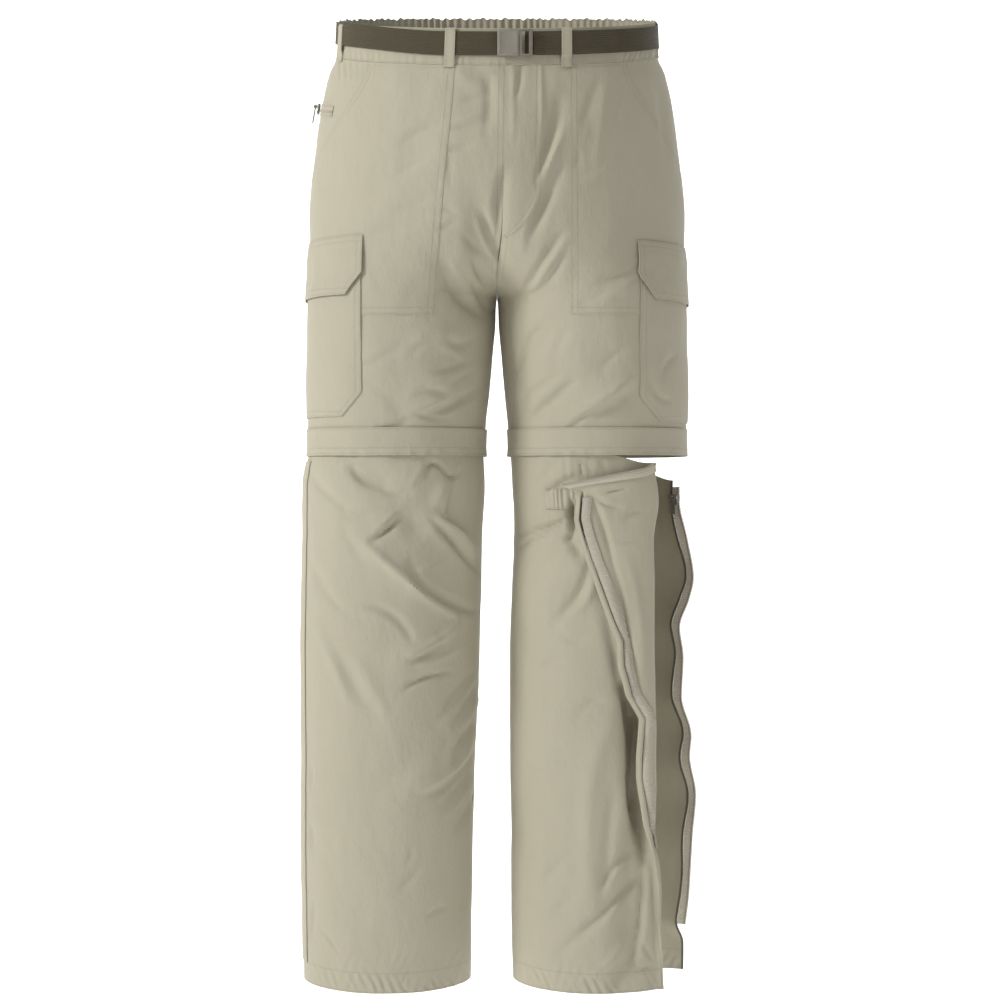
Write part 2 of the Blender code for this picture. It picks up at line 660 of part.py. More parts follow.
def buckle():
    """The fastened buckle: a flat socket, and a plug with a window where the webbing turns."""
    middle = np.full(3, sum(SOCKET_X) / 2)
    here = surface(LEFT, UPPER, spread(BELT_LOW, BELT_HIGH, 3), turn_at(LEFT, np.zeros(3), middle))
    here = here.mean(axis=0) * [1, 0, 1] + here.min(axis=0) * [0, 1, 0]
    back = here[1] - BUCKLE_LIFT
    face = back - BUCKLE_DEPTH
    low, high = here[2] - BUCKLE_HEIGHT / 2, here[2] + BUCKLE_HEIGHT / 2
    colour = "buckle_plastic"
    block("buckle_socket", (SOCKET_X[0], face, low), (SOCKET_X[1], back, high), colour, SOCKET_ROUND)
    plug_face = face + PLUG_SET_BACK
    plug = block("buckle_plug", (PLUG_X[0], plug_face, low), (PLUG_X[1], back, high), colour, PLUG_ROUND)
    first, last, rim = WINDOW_MARGINS
    window = (PLUG_X[0] + first, face - 2, low + rim), (PLUG_X[1] - last, back + 2, high - rim)
    cut(plug, block("buckle_window", *window, colour, 0))


# Knee zips and lower legs


def knee_flap(name, side):
    """The band that hangs over the knee zip all round."""
    rows = spread(KNEE_FLAP_TOP, KNEE_FLAP_END, 4)
    turns = np.concatenate([spread(0, 1, KNEE_COLUMNS)[:-1], spread(-1, 0, KNEE_COLUMNS)[:-1]])
    points = surface(side, UPPER, rows[:, None], turns[None, :])
    lift = (LAID + np.array(KNEE_FLAP_STANDS))[:, None]
    return laid(name, points, lift, lift + CLOTH, ring=True)


def knee_zip(name, side, ends=None):
    """Zip tape under the knee flap, all round or from one turn by way of the inseam to another."""
    rows = np.array([SHORTS_END - SEAM, LEG_TOP])
    first, last = ends or (0.0, 0.0)
    behind = spread(-1, last, ZIP_COLUMNS)
    turns = np.concatenate([spread(first, 1, ZIP_COLUMNS)[:-1], behind if ends else behind[:-1]])
    points = surface(side, UPPER, rows[:, None], turns[None, :])
    return laid(name, points, -TAPE, 0.0, "tape", ring=not ends)


def lower_panel(name, front):
    """A front or back of the closed lower leg."""
    sign = 1 if front else -1
    turns = sign * spread(SEAM_TURN, 1, COLUMNS)
    points = surface(RIGHT, LOWER_RIGHT, LOWER_ROWS[:, None], turns[None, :])
    return wall(name, points - normals(points) * CLOTH, points)


def side_placket(name):
    """The strip that covers the closed side zip, from the knee to the hem."""
    rows = np.array([PLACKET_TOP, *LOWER_ROWS[1:-1]])
    back, front = (np.full(rows.shape, turn) for turn in SIDE_PLACKET)
    points = surface(RIGHT, LOWER_RIGHT, rows[:, None], fitted(COLUMNS, back, front))
    return laid(name, points, LAID, LAID + PLACKET_CLOTH)


# Zip sliders and their pulls. Their frames are: across the tape, away from the cloth, and along the tape.


def prism(name, outer, inner, width, colour, frame, at):
    """A flat outline with a hole, drawn out along the frame's first direction, its origin at the point given."""
    count = len(outer)
    flat = np.concatenate([outer, inner])
    local = np.array([(x, o, u) for x in (-width / 2, width / 2) for o, u in flat])
    ring = np.arange(count)
    after = np.roll(ring, -1)
    far = 2 * count
    faces = (
        (ring, after, after + count, ring + count),
        (ring + far, ring + far + count, after + far + count, after + far),
        (ring, ring + far, after + far, after),
        (ring + count, after + count, after + far + count, ring + far + count),
    )
    faces = np.concatenate([np.stack(face, axis=1) for face in faces])
    made = add_mesh(name, local @ frame, faces, colour)
    made.location = at * MM
    return made


def zip_slider(name, at, frame):
    """A slider with two posts and the bar that its pull hangs on."""
    width, thick, length = SLIDER
    corners = (-width / 2, 0, -length / 2), (width / 2, thick, length / 2)
    body = block(name, *corners, "zip_metal", SLIDER_ROUND, 2, frame, at)
    bar_at = thick + BAR_OFF
    gap = PULL_WIDTH / 2 + POST_GAP
    for word, side in (("a", 1), ("b", -1)):
        ends = sorted((side * gap, side * (gap + POST)))
        corner = (ends[0], thick / 2, BAR_UP - POST_HALF), (ends[1], bar_at + POST_HALF, BAR_UP + POST_HALF)
        cut(body, block(f"{name}_post_{word}", *corner, "zip_metal", 0, 2, frame, at), "UNION")
    turns = np.arange(BAR_SIDES) * math.tau / BAR_SIDES
    rim = np.stack([bar_at + BAR_RADIUS * np.cos(turns), BAR_UP + BAR_RADIUS * np.sin(turns)], axis=1)
    inside_post = gap + POST / 2
    ends = np.array([(x, o, u) for x in (-inside_post, inside_post) for o, u in rim])
    after = [(i + 1) % BAR_SIDES for i in range(BAR_SIDES)]
    faces = [(i, after[i], after[i] + BAR_SIDES, i + BAR_SIDES) for i in range(BAR_SIDES)]
    faces += [tuple(range(BAR_SIDES)), tuple(range(2 * BAR_SIDES - 1, BAR_SIDES - 1, -1))]
    cut(body, add_mesh(name + "_bar", at + ends @ frame, faces, "zip_metal"), "UNION")


def zip_pull(name, at, frame):
    """The tab that hangs on a slider's bar: its eye goes round the bar."""
    hinge = at + np.array([0, SLIDER[1] + BAR_OFF, BAR_UP]) @ frame
    half = math.asin(PULL_THICK / 2 / EYE_OUT)
    angles = spread(-math.pi / 2 + half, 1.5 * math.pi - half, EYE_POINTS)
    outer = [(EYE_OUT * math.cos(a), EYE_OUT * math.sin(a)) for a in angles]
    outer += [(-PULL_THICK / 2, -PULL_LENGTH), (PULL_THICK / 2, -PULL_LENGTH)]
    inner_angles = [*angles, 1.5 * math.pi - 0.2, 1.5 * math.pi + 0.2]
    inner = [(EYE_IN * math.cos(a), EYE_IN * math.sin(a)) for a in inner_angles]
    return prism(name, np.array(outer), np.array(inner), PULL_WIDTH, "zip_metal", frame, hinge)


def frame_on(across, away):
    """Directions of a slider: across its tape, away from the cloth and along the tape."""
    across, away = np.array(across, float), np.array(away, float)
    across, away = across / np.linalg.norm(across), away / np.linalg.norm(away)
    return np.stack([across, away, np.cross(across, away) * math.copysign(1, np.cross(across, away)[2])])


def hip_zip():
    """The zipped pocket at the wearer's right hip."""
    front, back = HIP_ZIP_TURNS
    rows = HIP_ZIP_LEVEL + np.array([0.5, 0, -0.5]) * HIP_ZIP_HEIGHT
    turns = fitted(COLUMNS, np.full(3, back), np.full(3, front))
    points = surface(RIGHT, UPPER, rows[:, None], turns)
    laid("hip_zip_tape", points, SEWN_LIFT, SEWN_LIFT + TAPE, "tape")
    side = surface(RIGHT, UPPER, rows, np.zeros(3))
    slope = side[0] - side[2]
    away = np.array([-slope[2], 0, slope[0]])
    frame = frame_on((0, 1, 0), away)
    at = side[1] + frame[1] * (SEWN_LIFT + TAPE + SEAM)
    zip_slider("hip_zip_slider", at, frame)
    zip_pull("hip_zip_pull", at, frame)


# The open lower leg


def lapel_path(level):
    """One row of the open leg's front: round from the inseam, out at the fold and back over itself."""
    fold, turned, radius, run, droop = (float(read(LAPEL_TABLE, LAPEL, name, level)) for name in LAPEL[1:])
    middle, _, half, _ = section(LOWER_LEFT, level)
    share = float(np.clip((fold - radius - middle) / half, -1, 1))
    last = math.acos(math.copysign(abs(share) ** (SQUARENESS / 2), share))
    angles = spread(math.pi - SEAM / LEG_DEPTH, last, ARC_COLUMNS)
    arc = place(LEFT, LOWER_LEFT, np.full(ARC_COLUMNS, level), angles, np.full(ARC_COLUMNS, True))
    ahead = place(LEFT, LOWER_LEFT, np.full(2, level), np.array([last + LAPEL_LOOKS, last]), np.full(2, True))
    heading = math.atan2(ahead[1, 1] - ahead[0, 1], ahead[1, 0] - ahead[0, 0])
    turn = math.radians(turned)
    steps = [(radius * turn / TURN_COLUMNS, -turn / TURN_COLUMNS)] * TURN_COLUMNS
    steps += [(run / RUN_COLUMNS, -run / RUN_COLUMNS / LAPEL_FOLLOWS)] * RUN_COLUMNS
    point, tail, gone = arc[-1].copy(), [], 0.0
    whole = sum(step for step, _ in steps)
    for step, bend in steps:
        heading += bend / 2
        gone += step
        point = point + [step * math.cos(heading), step * math.sin(heading), 0]
        heading += bend / 2
        tail.append(point - [0, 0, droop * ease(0, 1, gone / whole)])
    return np.concatenate([arc, tail])


def open_front(name):
    """The open leg's front. Its top edge drops at the fold."""
    points = np.stack([lapel_path(level) for level in LOWER_ROWS])
    towards_fold = ease(0.75, 1.0, np.arange(points.shape[1]) / (ARC_COLUMNS - 1))
    points[..., 2] -= FRONT_DROP * ease(FRONT_DROP_END, LEG_TOP, LOWER_ROWS)[:, None] * towards_fold[None, :]
    made = wall(name, points - normals(points) * CLOTH, points)
    return made, points


def back_reach(z):
    return read(BACK_EDGE, BACK_EDGE_COLUMNS, "reach", z)


def open_back(name):
    """The open leg's back, from the inseam round to the edge with the zip tape."""
    turns = -spread(BACK_STOPS, 1, COLUMNS)
    points = surface(LEFT, LOWER_LEFT, LOWER_ROWS[:, None], turns[None, :])
    towards_edge = ease(BACK_LOOSE, -BACK_STOPS, turns)[None, :]
    points[..., 2] -= ease(BACK_DROP_END, LEG_TOP, LOWER_ROWS)[:, None] * BACK_DROP * towards_edge
    taped = TAPE_WIDTH * ease(TAPE_END - TAPE_FADES, TAPE_END, points[:, 0, 2])
    pull = back_reach(points[:, 0, 2]) - taped - points[:, 0, 0]
    points[..., 0] += pull[:, None] * towards_edge
    return wall(name, points - normals(points) * CLOTH, points), points


def back_edge_tape(name, panel):
    """The zip tape along the open leg's back edge, turned out towards the side."""
    edge = panel[1:-2, 0] + [SEAM, -CLOTH / 2, 0]
    far = edge.copy()
    far[:, 0] = back_reach(edge[:, 2])
    far[:, 1] -= TAPE_TURNS_IN
    points = np.stack([far, (far + edge) / 2, edge], axis=1)
    laid(name, points, -TAPE / 2, TAPE / 2, "tape")
    return points


def side_zip(panel):
    points = back_edge_tape("side_zip_back_left", panel)
    top, low = points[0], points[1]
    middle = (top[1] + low[1]) / 2
    across = (top[0] + low[0] - top[2] - low[2]) * [1, 1, 0]
    along = top[1] - low[1]
    away = np.cross(across, along)
    away *= -math.copysign(1, away[1])
    frame = frame_on(across, away)
    at = middle + frame[1] * (TAPE / 2 + SEAM)
    zip_slider("leg_zip_slider", at, frame)
    zip_pull("leg_zip_pull", at, frame)


def front_edge_tape(name, panel):
    """The zip tape on the turned-back edge of the open leg's front, set in from the lip."""
    rows = slice(1, FRONT_TAPE_ROWS)
    end, before = panel[rows, -1], panel[rows, -2]
    along = (before - end) / np.linalg.norm(before - end, axis=1, keepdims=True)
    room = np.linalg.norm(end - panel[rows, -RUN_COLUMNS], axis=1, keepdims=True)
    last = np.minimum(TAPE_LIP + TAPE_WIDTH, room)
    out = -normals(panel)[rows, -1]
    line = [end + along * (TAPE_LIP + (last - TAPE_LIP) * share) for share in (0, 0.5, 1)]
    points = np.stack(line, axis=1) + out[:, None] * (CLOTH + SEWN_LIFT)
    return wall(name, points, points + out[:, None] * TAPE, "tape")


def top_edge_tape(name, panel):
    """The undone half of the knee zip, on the top edge of the part that is turned back."""
    columns = slice(ARC_COLUMNS + 1, None)
    line, low = panel[0, columns], panel[1, columns]
    down = (low - line) / np.linalg.norm(low - line, axis=1, keepdims=True)
    out = -normals(panel)[0, columns]
    points = np.stack([line + down, line + down * KNEE_TAPE_WIDTH]) + out * (CLOTH + SEWN_LIFT)
    return wall(name, points, points + out * TAPE, "tape")


def zip_end_tab(name):
    """The puckered tab at the end of the undone knee zip."""
    rows = np.array(TAB_ROWS)
    x = np.linspace(*TAB_X, 9)
    turns = turn_at(LEFT, rows[:, None] + 0 * x, rows[:, None] * 0 + x, LOWER_LEFT)[:, ::-1]
    points = surface(LEFT, LOWER_LEFT, rows[:, None], turns)
    lift = SEWN_LIFT + TAB_PUCKER * (1 + np.cos(np.arange(9) * math.pi))
    return laid(name, points, lift, lift + TAPE)


def main():
    clear_scene()
    for word, side in (("right", RIGHT), ("left", LEFT)):
        upper_panel("front_" + word, side, True)
        upper_panel("back_" + word, side, False)
        front_pocket("front_pocket_" + word, side)
        cargo_pocket("cargo_pocket_" + word, side)
        cargo_flap("cargo_flap_" + word, side)
        waistband_front("waistband_front_" + word, side)
        knee_flap("knee_flap_" + word, side)
    fly("fly")
    waistband_back("waistband_back")
    belt("belt")
    belt_tail("belt_tail")
    belt_loops()
    buckle()
    knee_zip("knee_zip_right", RIGHT)
    lower_panel("leg_front_right", True)
    lower_panel("leg_back_right", False)
    side_placket("side_placket_right")
    _, front = open_front("leg_front_left")
    _, back = open_back("leg_back_left")
    side_zip(back)
    front_edge_tape("side_zip_front_left", front)
    top_edge_tape("knee_zip_open_left", front)
    zip_end_tab("knee_zip_tab_left")
    knee_zip("knee_zip_left", LEFT, KNEE_ZIP_CLOSED)
    hip_zip()


main()
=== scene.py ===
"""How the convertible trousers look: cloth, belt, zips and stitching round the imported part.

Sizes are in millimetres until a mesh is made. The front faces -Y and the wearer's left leg is at +X.
"""

import math

import bmesh
import bpy
import numpy as np
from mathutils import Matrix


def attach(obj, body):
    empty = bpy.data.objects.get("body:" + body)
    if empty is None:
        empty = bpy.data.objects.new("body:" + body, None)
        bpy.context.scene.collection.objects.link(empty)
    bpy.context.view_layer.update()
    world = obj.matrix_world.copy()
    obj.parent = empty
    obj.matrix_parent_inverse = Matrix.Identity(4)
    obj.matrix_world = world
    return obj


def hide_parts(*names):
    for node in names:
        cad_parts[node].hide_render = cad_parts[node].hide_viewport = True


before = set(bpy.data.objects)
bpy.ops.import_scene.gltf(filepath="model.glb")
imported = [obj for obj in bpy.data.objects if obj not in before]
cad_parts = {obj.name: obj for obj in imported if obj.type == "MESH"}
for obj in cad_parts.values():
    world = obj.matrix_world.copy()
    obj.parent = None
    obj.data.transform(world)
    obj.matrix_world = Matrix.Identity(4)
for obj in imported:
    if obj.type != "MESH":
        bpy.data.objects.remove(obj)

MM = 0.001

# Driving sizes
SEAM = 0.3  # between neighbouring pieces
CLOTH = 1.4  # one wall of cloth
LAID = 1.1  # a piece laid on a panel stands off it by this
SQUARENESS = 2.15  # of the sections: 2 is an ellipse
WAIST_TOP = 15.0
WAIST_SEAM = -24.0
CROTCH = -297.0
SHORTS_END = -460.0
LEG_TOP = -470.0
HEM = -1054.0
HEM_DIP = 5.0  # front and back of a hem hang lower than its sides
RIGHT, LEFT = -1, 1  # the wearer's right is at -X

# Horizontal sections of one side, mirrored for the other. Above the crotch the oval runs past the middle,
# so its inner edge is on the other side.
SECTION = ("level", "outer", "inner", "front", "back")
UPPER = (
    (15, 177, -177, -108, 110),
    (-24, 179.5, -179.5, -112, 116),
    (-45, 188, -188, -117, 126),
    (-75, 195.5, -195.5, -121, 138),
    (-120, 202.5, -202.5, -124, 150),
    (-165, 208, -205, -124, 155),
    (-200, 210.5, -182, -122, 153),
    (-235, 209.5, -118, -119, 147),
    (-262, 209, -62, -117, 140),
    (-280, 209, -26, -115, 135),
    (-292, 209, -6, -114, 131),
    (-297, 209, 0.2, -113.5, 130),
    (-330, 209.5, 1.8, -111, 122),
    (-364, 210, 5, -107, 114),
    (-400, 211, 8.3, -101, 107),
    (-430, 211.5, 11.5, -95, 101),
    (-475, 211, 14.5, -90, 96),
)
LOWER_RIGHT = (
    (-470, 210.5, 15, -89.5, 95.5),
    (-500, 216.5, 14, -90, 96),
    (-560, 217.5, 16.5, -87, 94),
    (-640, 218.5, 18.5, -83, 90),
    (-720, 219, 20.5, -80, 87),
    (-800, 218.5, 24, -78, 84),
    (-880, 218.5, 26.5, -76, 82),
    (-960, 218, 28, -74, 80),
    (-1054, 216, 29, -72, 78),
)
LOWER_LEFT = (
    (-470, 210.5, 15, -89.5, 95.5),
    (-500, 213, 17, -90, 96),
    (-560, 214, 19, -88, 94),
    (-640, 213, 16, -84, 90),
    (-720, 212, 14.5, -81, 87),
    (-800, 211, 14.5, -79, 84),
    (-880, 210, 16, -77, 82),
    (-960, 209, 15.5, -75, 80),
    (-1054, 207, 18, -73, 78),
)
# How far the front seam stands to the wearer's left of the middle: the hips are turned a little.
FRONT_SEAM_COLUMNS = ("level", "shift")
FRONT_SEAM = ((15, 10), (-24, 9), (-220, 6), (-290, 0), (-1100, 0))

FOLDS_STOP = 12.0  # the folds die away this near the middle seam and the inseam
# The largest folds, seen from the front: a straight ridge, or a trough where height is below 0.
FOLD = ("x0", "z0", "x1", "z1", "height", "width")
FOLDS_FRONT = (
    (-20, -200, -8, -300, -7, 15),
    (-60, -262, -22, -322, -5, 13),
    (-30, -335, -92, -358, 4, 12),
    (-24, -378, -88, -404, 4.5, 12),
    (-112, -160, -72, -132, -3, 14),
    (72, -84, 46, -160, -4, 12),
    (62, -176, 34, -236, -4, 12),
    (58, -330, 28, -378, -4, 13),
    (146, -384, 80, -432, 5, 15),
    (-160, -478, -108, -514, -5, 14),
    (-140, -570, -60, -635, 6, 15),
    (-104, -536, -74, -560, -5, 14),
    (-74, -540, -26, -586, 5, 13),
    (-104, -692, -62, -668, 4, 14),
    (-110, -842, -46, -800, 4, 15),
    (30, -570, 78, -540, -4, 14),
    (64, -650, 92, -600, -4, 16),
    (144, -730, 152, -840, -9, 13),
    (152, -860, 140, -1050, -9, 14),
)
FOLDS_BACK = (
    (20, -215, 10, -300, -6, 15),
    (-20, -215, -10, -300, -6, 15),
    (32, -345, 100, -320, 4, 14),
    (-30, -350, -96, -326, 4, 14),
    (60, -480, 150, -540, 5, 16),
    (-150, -500, -60, -560, 5, 16),
    (-60, -600, -150, -660, 4, 16),
    (70, -640, 150, -600, 4, 16),
)

# The unzipped leg: its front panel turns back on itself like a lapel, wide at the knee.
LAPEL = ("level", "fold", "turned", "radius", "run", "droop")
LAPEL_TABLE = (
    (-470, 167, 176, 4.6, 76, 33),
    (-520, 172, 178, 4.6, 80, 28),
    (-564, 167, 180, 4.6, 62, 24),
    (-611, 168, 180, 4.6, 47, 19),
    (-671, 168, 180, 4.6, 34, 13),
    (-735, 170, 180, 4.6, 20, 7),
    (-778, 172, 180, 4.6, 15, 4),
    (-820, 172, 180, 4.6, 18, 2),
    (-880, 171, 176, 4.6, 9, 0),
    (-920, 174, 120, 6, 6, 0),
    (-965, 178, 60, 8, 7, 0),
    (-1054, 183, 25, 10, 8, 0),
)
INSEAM_DEPTH, LOOK_BACK = 85.0, 0.06  # half its depth at the inseam; angle over which its heading is read
LAPEL_FOLLOWS = 88.0  # radius that the turned-back cloth keeps to, round the leg
BACK_EDGE_COLUMNS = ("level", "reach")
BACK_EDGE = (
    (-470, 210), (-521, 208), (-566, 217), (-610, 224), (-633, 219), (-666, 208), (-700, 212), (-745, 210),
    (-790, 221), (-812, 219), (-857, 226), (-902, 222), (-969, 218), (-1014, 213), (-1054, 212),
)

# Belt, loops and buckle
BELT_LOW, BELT_HIGH = -14.0, 11.0
WEBBING = 1.5
BELT_LIFT = 1.1
TAIL_LIFT = BELT_LIFT + WEBBING + SEAM
BELT_ENDS = (8.0, 30.0)  # x of the webbing's two ends, both behind the buckle
TAIL_END = 129.0
LOOP_WIDTH = 11.0
LOOP_CLOTH = 1.2
LOOP_END = -27.4
TAIL_START = 39.1

# Front pockets: laid on the fronts, with a slanted mouth towards the side seam
POCKET_TOP, POCKET_END = -28.0, -322.0
POCKET_INNER = {RIGHT: (-45.0, -68.0), LEFT: (78.0, 79.0)}  # x at top and bottom
POCKET_MOUTH_TOP, POCKET_MOUTH_END = 142.0, -168.0  # x at the waist, level where the slant meets the side
FLY_WIDTH, FLY_END, FLY_FOOT = 40.0, -240.0, 45.0  # the foot is the height of its rounded end

# Cargo pockets, on the side seams
CARGO_FRONT = {RIGHT: 146.0, LEFT: 154.0}  # distance of the front edge from the middle
CARGO_BACK = 180.0
CARGO_TOP, CARGO_END = -262.0, -430.0
CARGO_CORNER = (26.0, 22.0)  # height and width of the cut corners
CARGO_BACK_CUT = 0.7  # share of a corner's cut on the back edge
CARGO_DROP = {RIGHT: 0.0, LEFT: 5.0}  # one hangs a little lower
FLAP_TOP, FLAP_END = -235.0, -299.0
FLAP_CORNER = (23.0, 17.0)
FLAP_WIDER = 2.5

# Knee flaps, which cover the knee zips, and the zips
KNEE_FLAP_TOP, KNEE_FLAP_END = -442.0, -472.0
TAPE = 1.2
TAPE_WIDTH = 11.0
SIDE_PLACKET = (-0.02, 0.13)  # turns of the strip that covers the closed side zip
HIP_ZIP_LEVEL, HIP_ZIP_TURNS, HIP_ZIP_HEIGHT = -84.0, (0.27, -0.3), 13.0

KNEE_ZIP_CLOSED = (0.5, -0.62)  # turns between which the open leg's knee zip is still closed
SEWN_LIFT = 0.45  # tapes stand off what they are sewn to by this
TAB_ROWS, TAB_X = (-509.0, -519.0, -530.0), (53.0, 86.0)  # the puckered end of the undone knee zip
BACK_STOPS, BACK_DROP = 0.2, 28.0  # turn where the open back ends, and how far its corner hangs
TAPE_END = -1000.0
TAPE_TURNS_IN = 5.0

# Levels at which pieces start and stop
UPPER_START = WAIST_SEAM - SEAM
LEG_START = LEG_TOP - SEAM
TAPES_START = -488.0
FRONT_TAPE_END = -902.0
BACK_TAPE_END = -1003.0
PLACKET_END = -1032.0

WAISTBAND_SIDE = 0.12  # turn of the seam between the waistband's front and back
GATHERS, GATHER_DEPTH = 62, 1.3
SEAM_TURN = 0.00125  # turn from the side seam to a panel's edge
LEG_MIDDLE, BODY_MIDDLE = 112.0, 8.0  # x of a leg's middle, y of the body's

# Tables and small sums


def smooth_read(knots, values, at):
    """Monotone cubic through a table's values, so that a curve never swings past them."""
    step = np.diff(knots)
    rise = np.diff(values) / step
    slope = np.zeros_like(values)
    slope[0], slope[-1] = rise[0], rise[-1]
    both = rise[:-1] * rise[1:] > 0
    near, far = 2 * step[1:] + step[:-1], step[1:] + 2 * step[:-1]
    before, after = np.where(both, rise[:-1], 1.0), np.where(both, rise[1:], 1.0)
    slope[1:-1] = np.where(both, (near + far) / (near / before + far / after), 0.0)
    at = np.clip(np.asarray(at, float), knots[0], knots[-1])
    index = np.clip(np.searchsorted(knots, at) - 1, 0, len(step) - 1)
    share = (at - knots[index]) / step[index]
    return (
        values[index] * (1 + 2 * share) * (1 - share) ** 2
        + slope[index] * step[index] * share * (1 - share) ** 2
        + values[index + 1] * share**2 * (3 - 2 * share)
        + slope[index + 1] * step[index] * share**2 * (share - 1)
    )


def read(table, names, name, at):
    """One named column of a table, read at levels."""
    rows = np.array(table, float)
    rows = rows[np.argsort(rows[:, 0])]
    return smooth_read(rows[:, 0], rows[:, names.index(name)], at)


def ease(low, high, at):
    """0 below low, 1 above high and smooth between."""
    share = np.clip((np.asarray(at, float) - low) / (high - low), 0, 1)
    return share * share * (3 - 2 * share)


spread = np.linspace


# The garment's surface


def section(table, level):
    """Middle and half sizes of the section at a level."""
    outer, inner, front, back = (read(table, SECTION, name, level) for name in SECTION[1:])
    return (outer + inner) / 2, (front + back) / 2, (outer - inner) / 2, (back - front) / 2


def front_seam(level):
    return read(FRONT_SEAM, FRONT_SEAM_COLUMNS, "shift", level)


def angle_out(share):
    """Angle round a section at which it is this share of its half width out from its middle."""
    share = np.clip(share, -1, 1)
    return np.arccos(np.sign(share) * np.abs(share) ** (SQUARENESS / 2))


def end_angle(side, table, level, front):
    """Angle from the side seam to the middle seam above the crotch, or to the inseam below it."""
    middle, _, half, depth = section(table, level)
    cut = np.where(front, side * front_seam(level), 0.0)
    return np.minimum(angle_out((cut - middle) / half), math.pi - SEAM / 2 / depth)


def fold_height(x, z, front):
    """How far the folds lift the cloth at a place seen from the front or the back."""
    total = np.zeros(np.broadcast(x, z).shape)
    for folds, on in ((FOLDS_FRONT, front), (FOLDS_BACK, ~front)):
        for row in folds:
            x0, z0, x1, z1, height, width = (row[FOLD.index(name)] for name in FOLD)
            along = np.array([x1 - x0, z1 - z0])
            share = ((x - x0) * along[0] + (z - z0) * along[1]) / (along @ along)
            near = np.clip(share, 0, 1)
            away = np.hypot(x - x0 - near * along[0], z - z0 - near * along[1])
            taper = 0.35 + 0.65 * np.sin(math.pi * near)
            total += np.where(on, height * taper * np.exp(-((away / width) ** 2)), 0.0)
    return total


def tilt(level, y):
    """How far the waist's tilt and the hem's dip move a point of a level up or down."""
    at_waist = ease(-215, WAIST_SEAM, level) * (28 * (y / 110) - 2 * (y / 110) ** 2)
    dip = -HEM_DIP * ease(-HEM - 120, -HEM, -level) * np.minimum((y / 75) ** 2, 1)
    return at_waist + dip


def place(side, table, level, angle, front):
    """A point of the surface, from its level and its angle round from the side seam."""
    middle, middle_y, half, depth = section(table, level)
    across = np.sign(np.cos(angle)) * np.abs(np.cos(angle)) ** (2 / SQUARENESS)
    forward = np.abs(np.sin(angle)) ** (2 / SQUARENESS) * np.where(front, -1, 1)
    x, y = middle + half * across, middle_y + depth * forward
    z = level + tilt(level, y)
    seam = np.maximum(middle - half, np.where(front, side * front_seam(level), 0.0))
    lift = fold_height(side * x, z, front) * ease(0, FOLDS_STOP, x - seam)
    out_x, out_y = across / half, forward / depth
    size = np.hypot(out_x, out_y)
    return np.stack([side * (x + lift * out_x / size), y + lift * out_y / size, z], axis=-1)


def surface(side, table, level, turn):
    """turn runs from 0 at the side seam to 1 at the front's inner seam, or to -1 at the back's."""
    level, turn = np.broadcast_arrays(np.asarray(level, float), np.asarray(turn, float))
    front = turn >= 0
    return place(side, table, level, np.abs(turn) * end_angle(side, table, level, front), front)


def turn_at(side, level, x, table=UPPER, front=True):
    """The turn at which a section passes x, on its front or its back."""
    middle, _, half, _ = section(table, level)
    end = end_angle(side, table, level, np.full(np.shape(level), front))
    turn = angle_out((side * x - middle) / half) / end
    return turn if front else -turn


def normals(points):
    """Outward direction at each point of a grid of rows and columns."""
    found = np.cross(np.gradient(points, axis=1), np.gradient(points, axis=0))
    found /= np.maximum(np.linalg.norm(found, axis=-1, keepdims=True), 1e-9)
    across = points[..., 0].mean()
    middle_x = math.copysign(LEG_MIDDLE, across) if abs(across) > LEG_MIDDLE / 2 else across
    facing = ((points[..., :2] - [middle_x, BODY_MIDDLE]) * found[..., :2]).sum()
    return found if facing > 0 else -found


def ring_normals(points):
    return normals(np.concatenate([points[:, -1:], points, points[:, :1]], axis=1))[:, 1:-1]


def lapel_path(level, arc_columns, turn_columns, run_columns):
    """One row of the open leg's front: round from the inseam, out at the fold and back over itself."""
    fold, turned, radius, run, droop = (float(read(LAPEL_TABLE, LAPEL, name, level)) for name in LAPEL[1:])
    middle, _, half, _ = section(LOWER_LEFT, level)
    last = float(angle_out((fold - radius - middle) / half))
    angles = spread(math.pi - SEAM / 2 / INSEAM_DEPTH, last, arc_columns)
    arc, ahead = (
        place(LEFT, LOWER_LEFT, np.full(len(some), level), some, np.full(len(some), True))
        for some in (angles, np.array([last + LOOK_BACK, last]))
    )
    heading = math.atan2(ahead[1, 1] - ahead[0, 1], ahead[1, 0] - ahead[0, 0])
    turn = math.radians(turned)
    steps = [(radius * turn / turn_columns, -turn / turn_columns)] * turn_columns
    steps += [(run / run_columns, -run / run_columns / LAPEL_FOLLOWS)] * run_columns
    point, tail, gone = arc[-1].copy(), [], 0.0
    whole = sum(step for step, _ in steps)
    for step, bend in steps:
        heading += bend / 2
        gone += step
        point = point + [step * math.cos(heading), step * math.sin(heading), 0]
        heading += bend / 2
        tail.append(point - [0, 0, droop * ease(0, 1, gone / whole)])
    return np.concatenate([arc, tail])


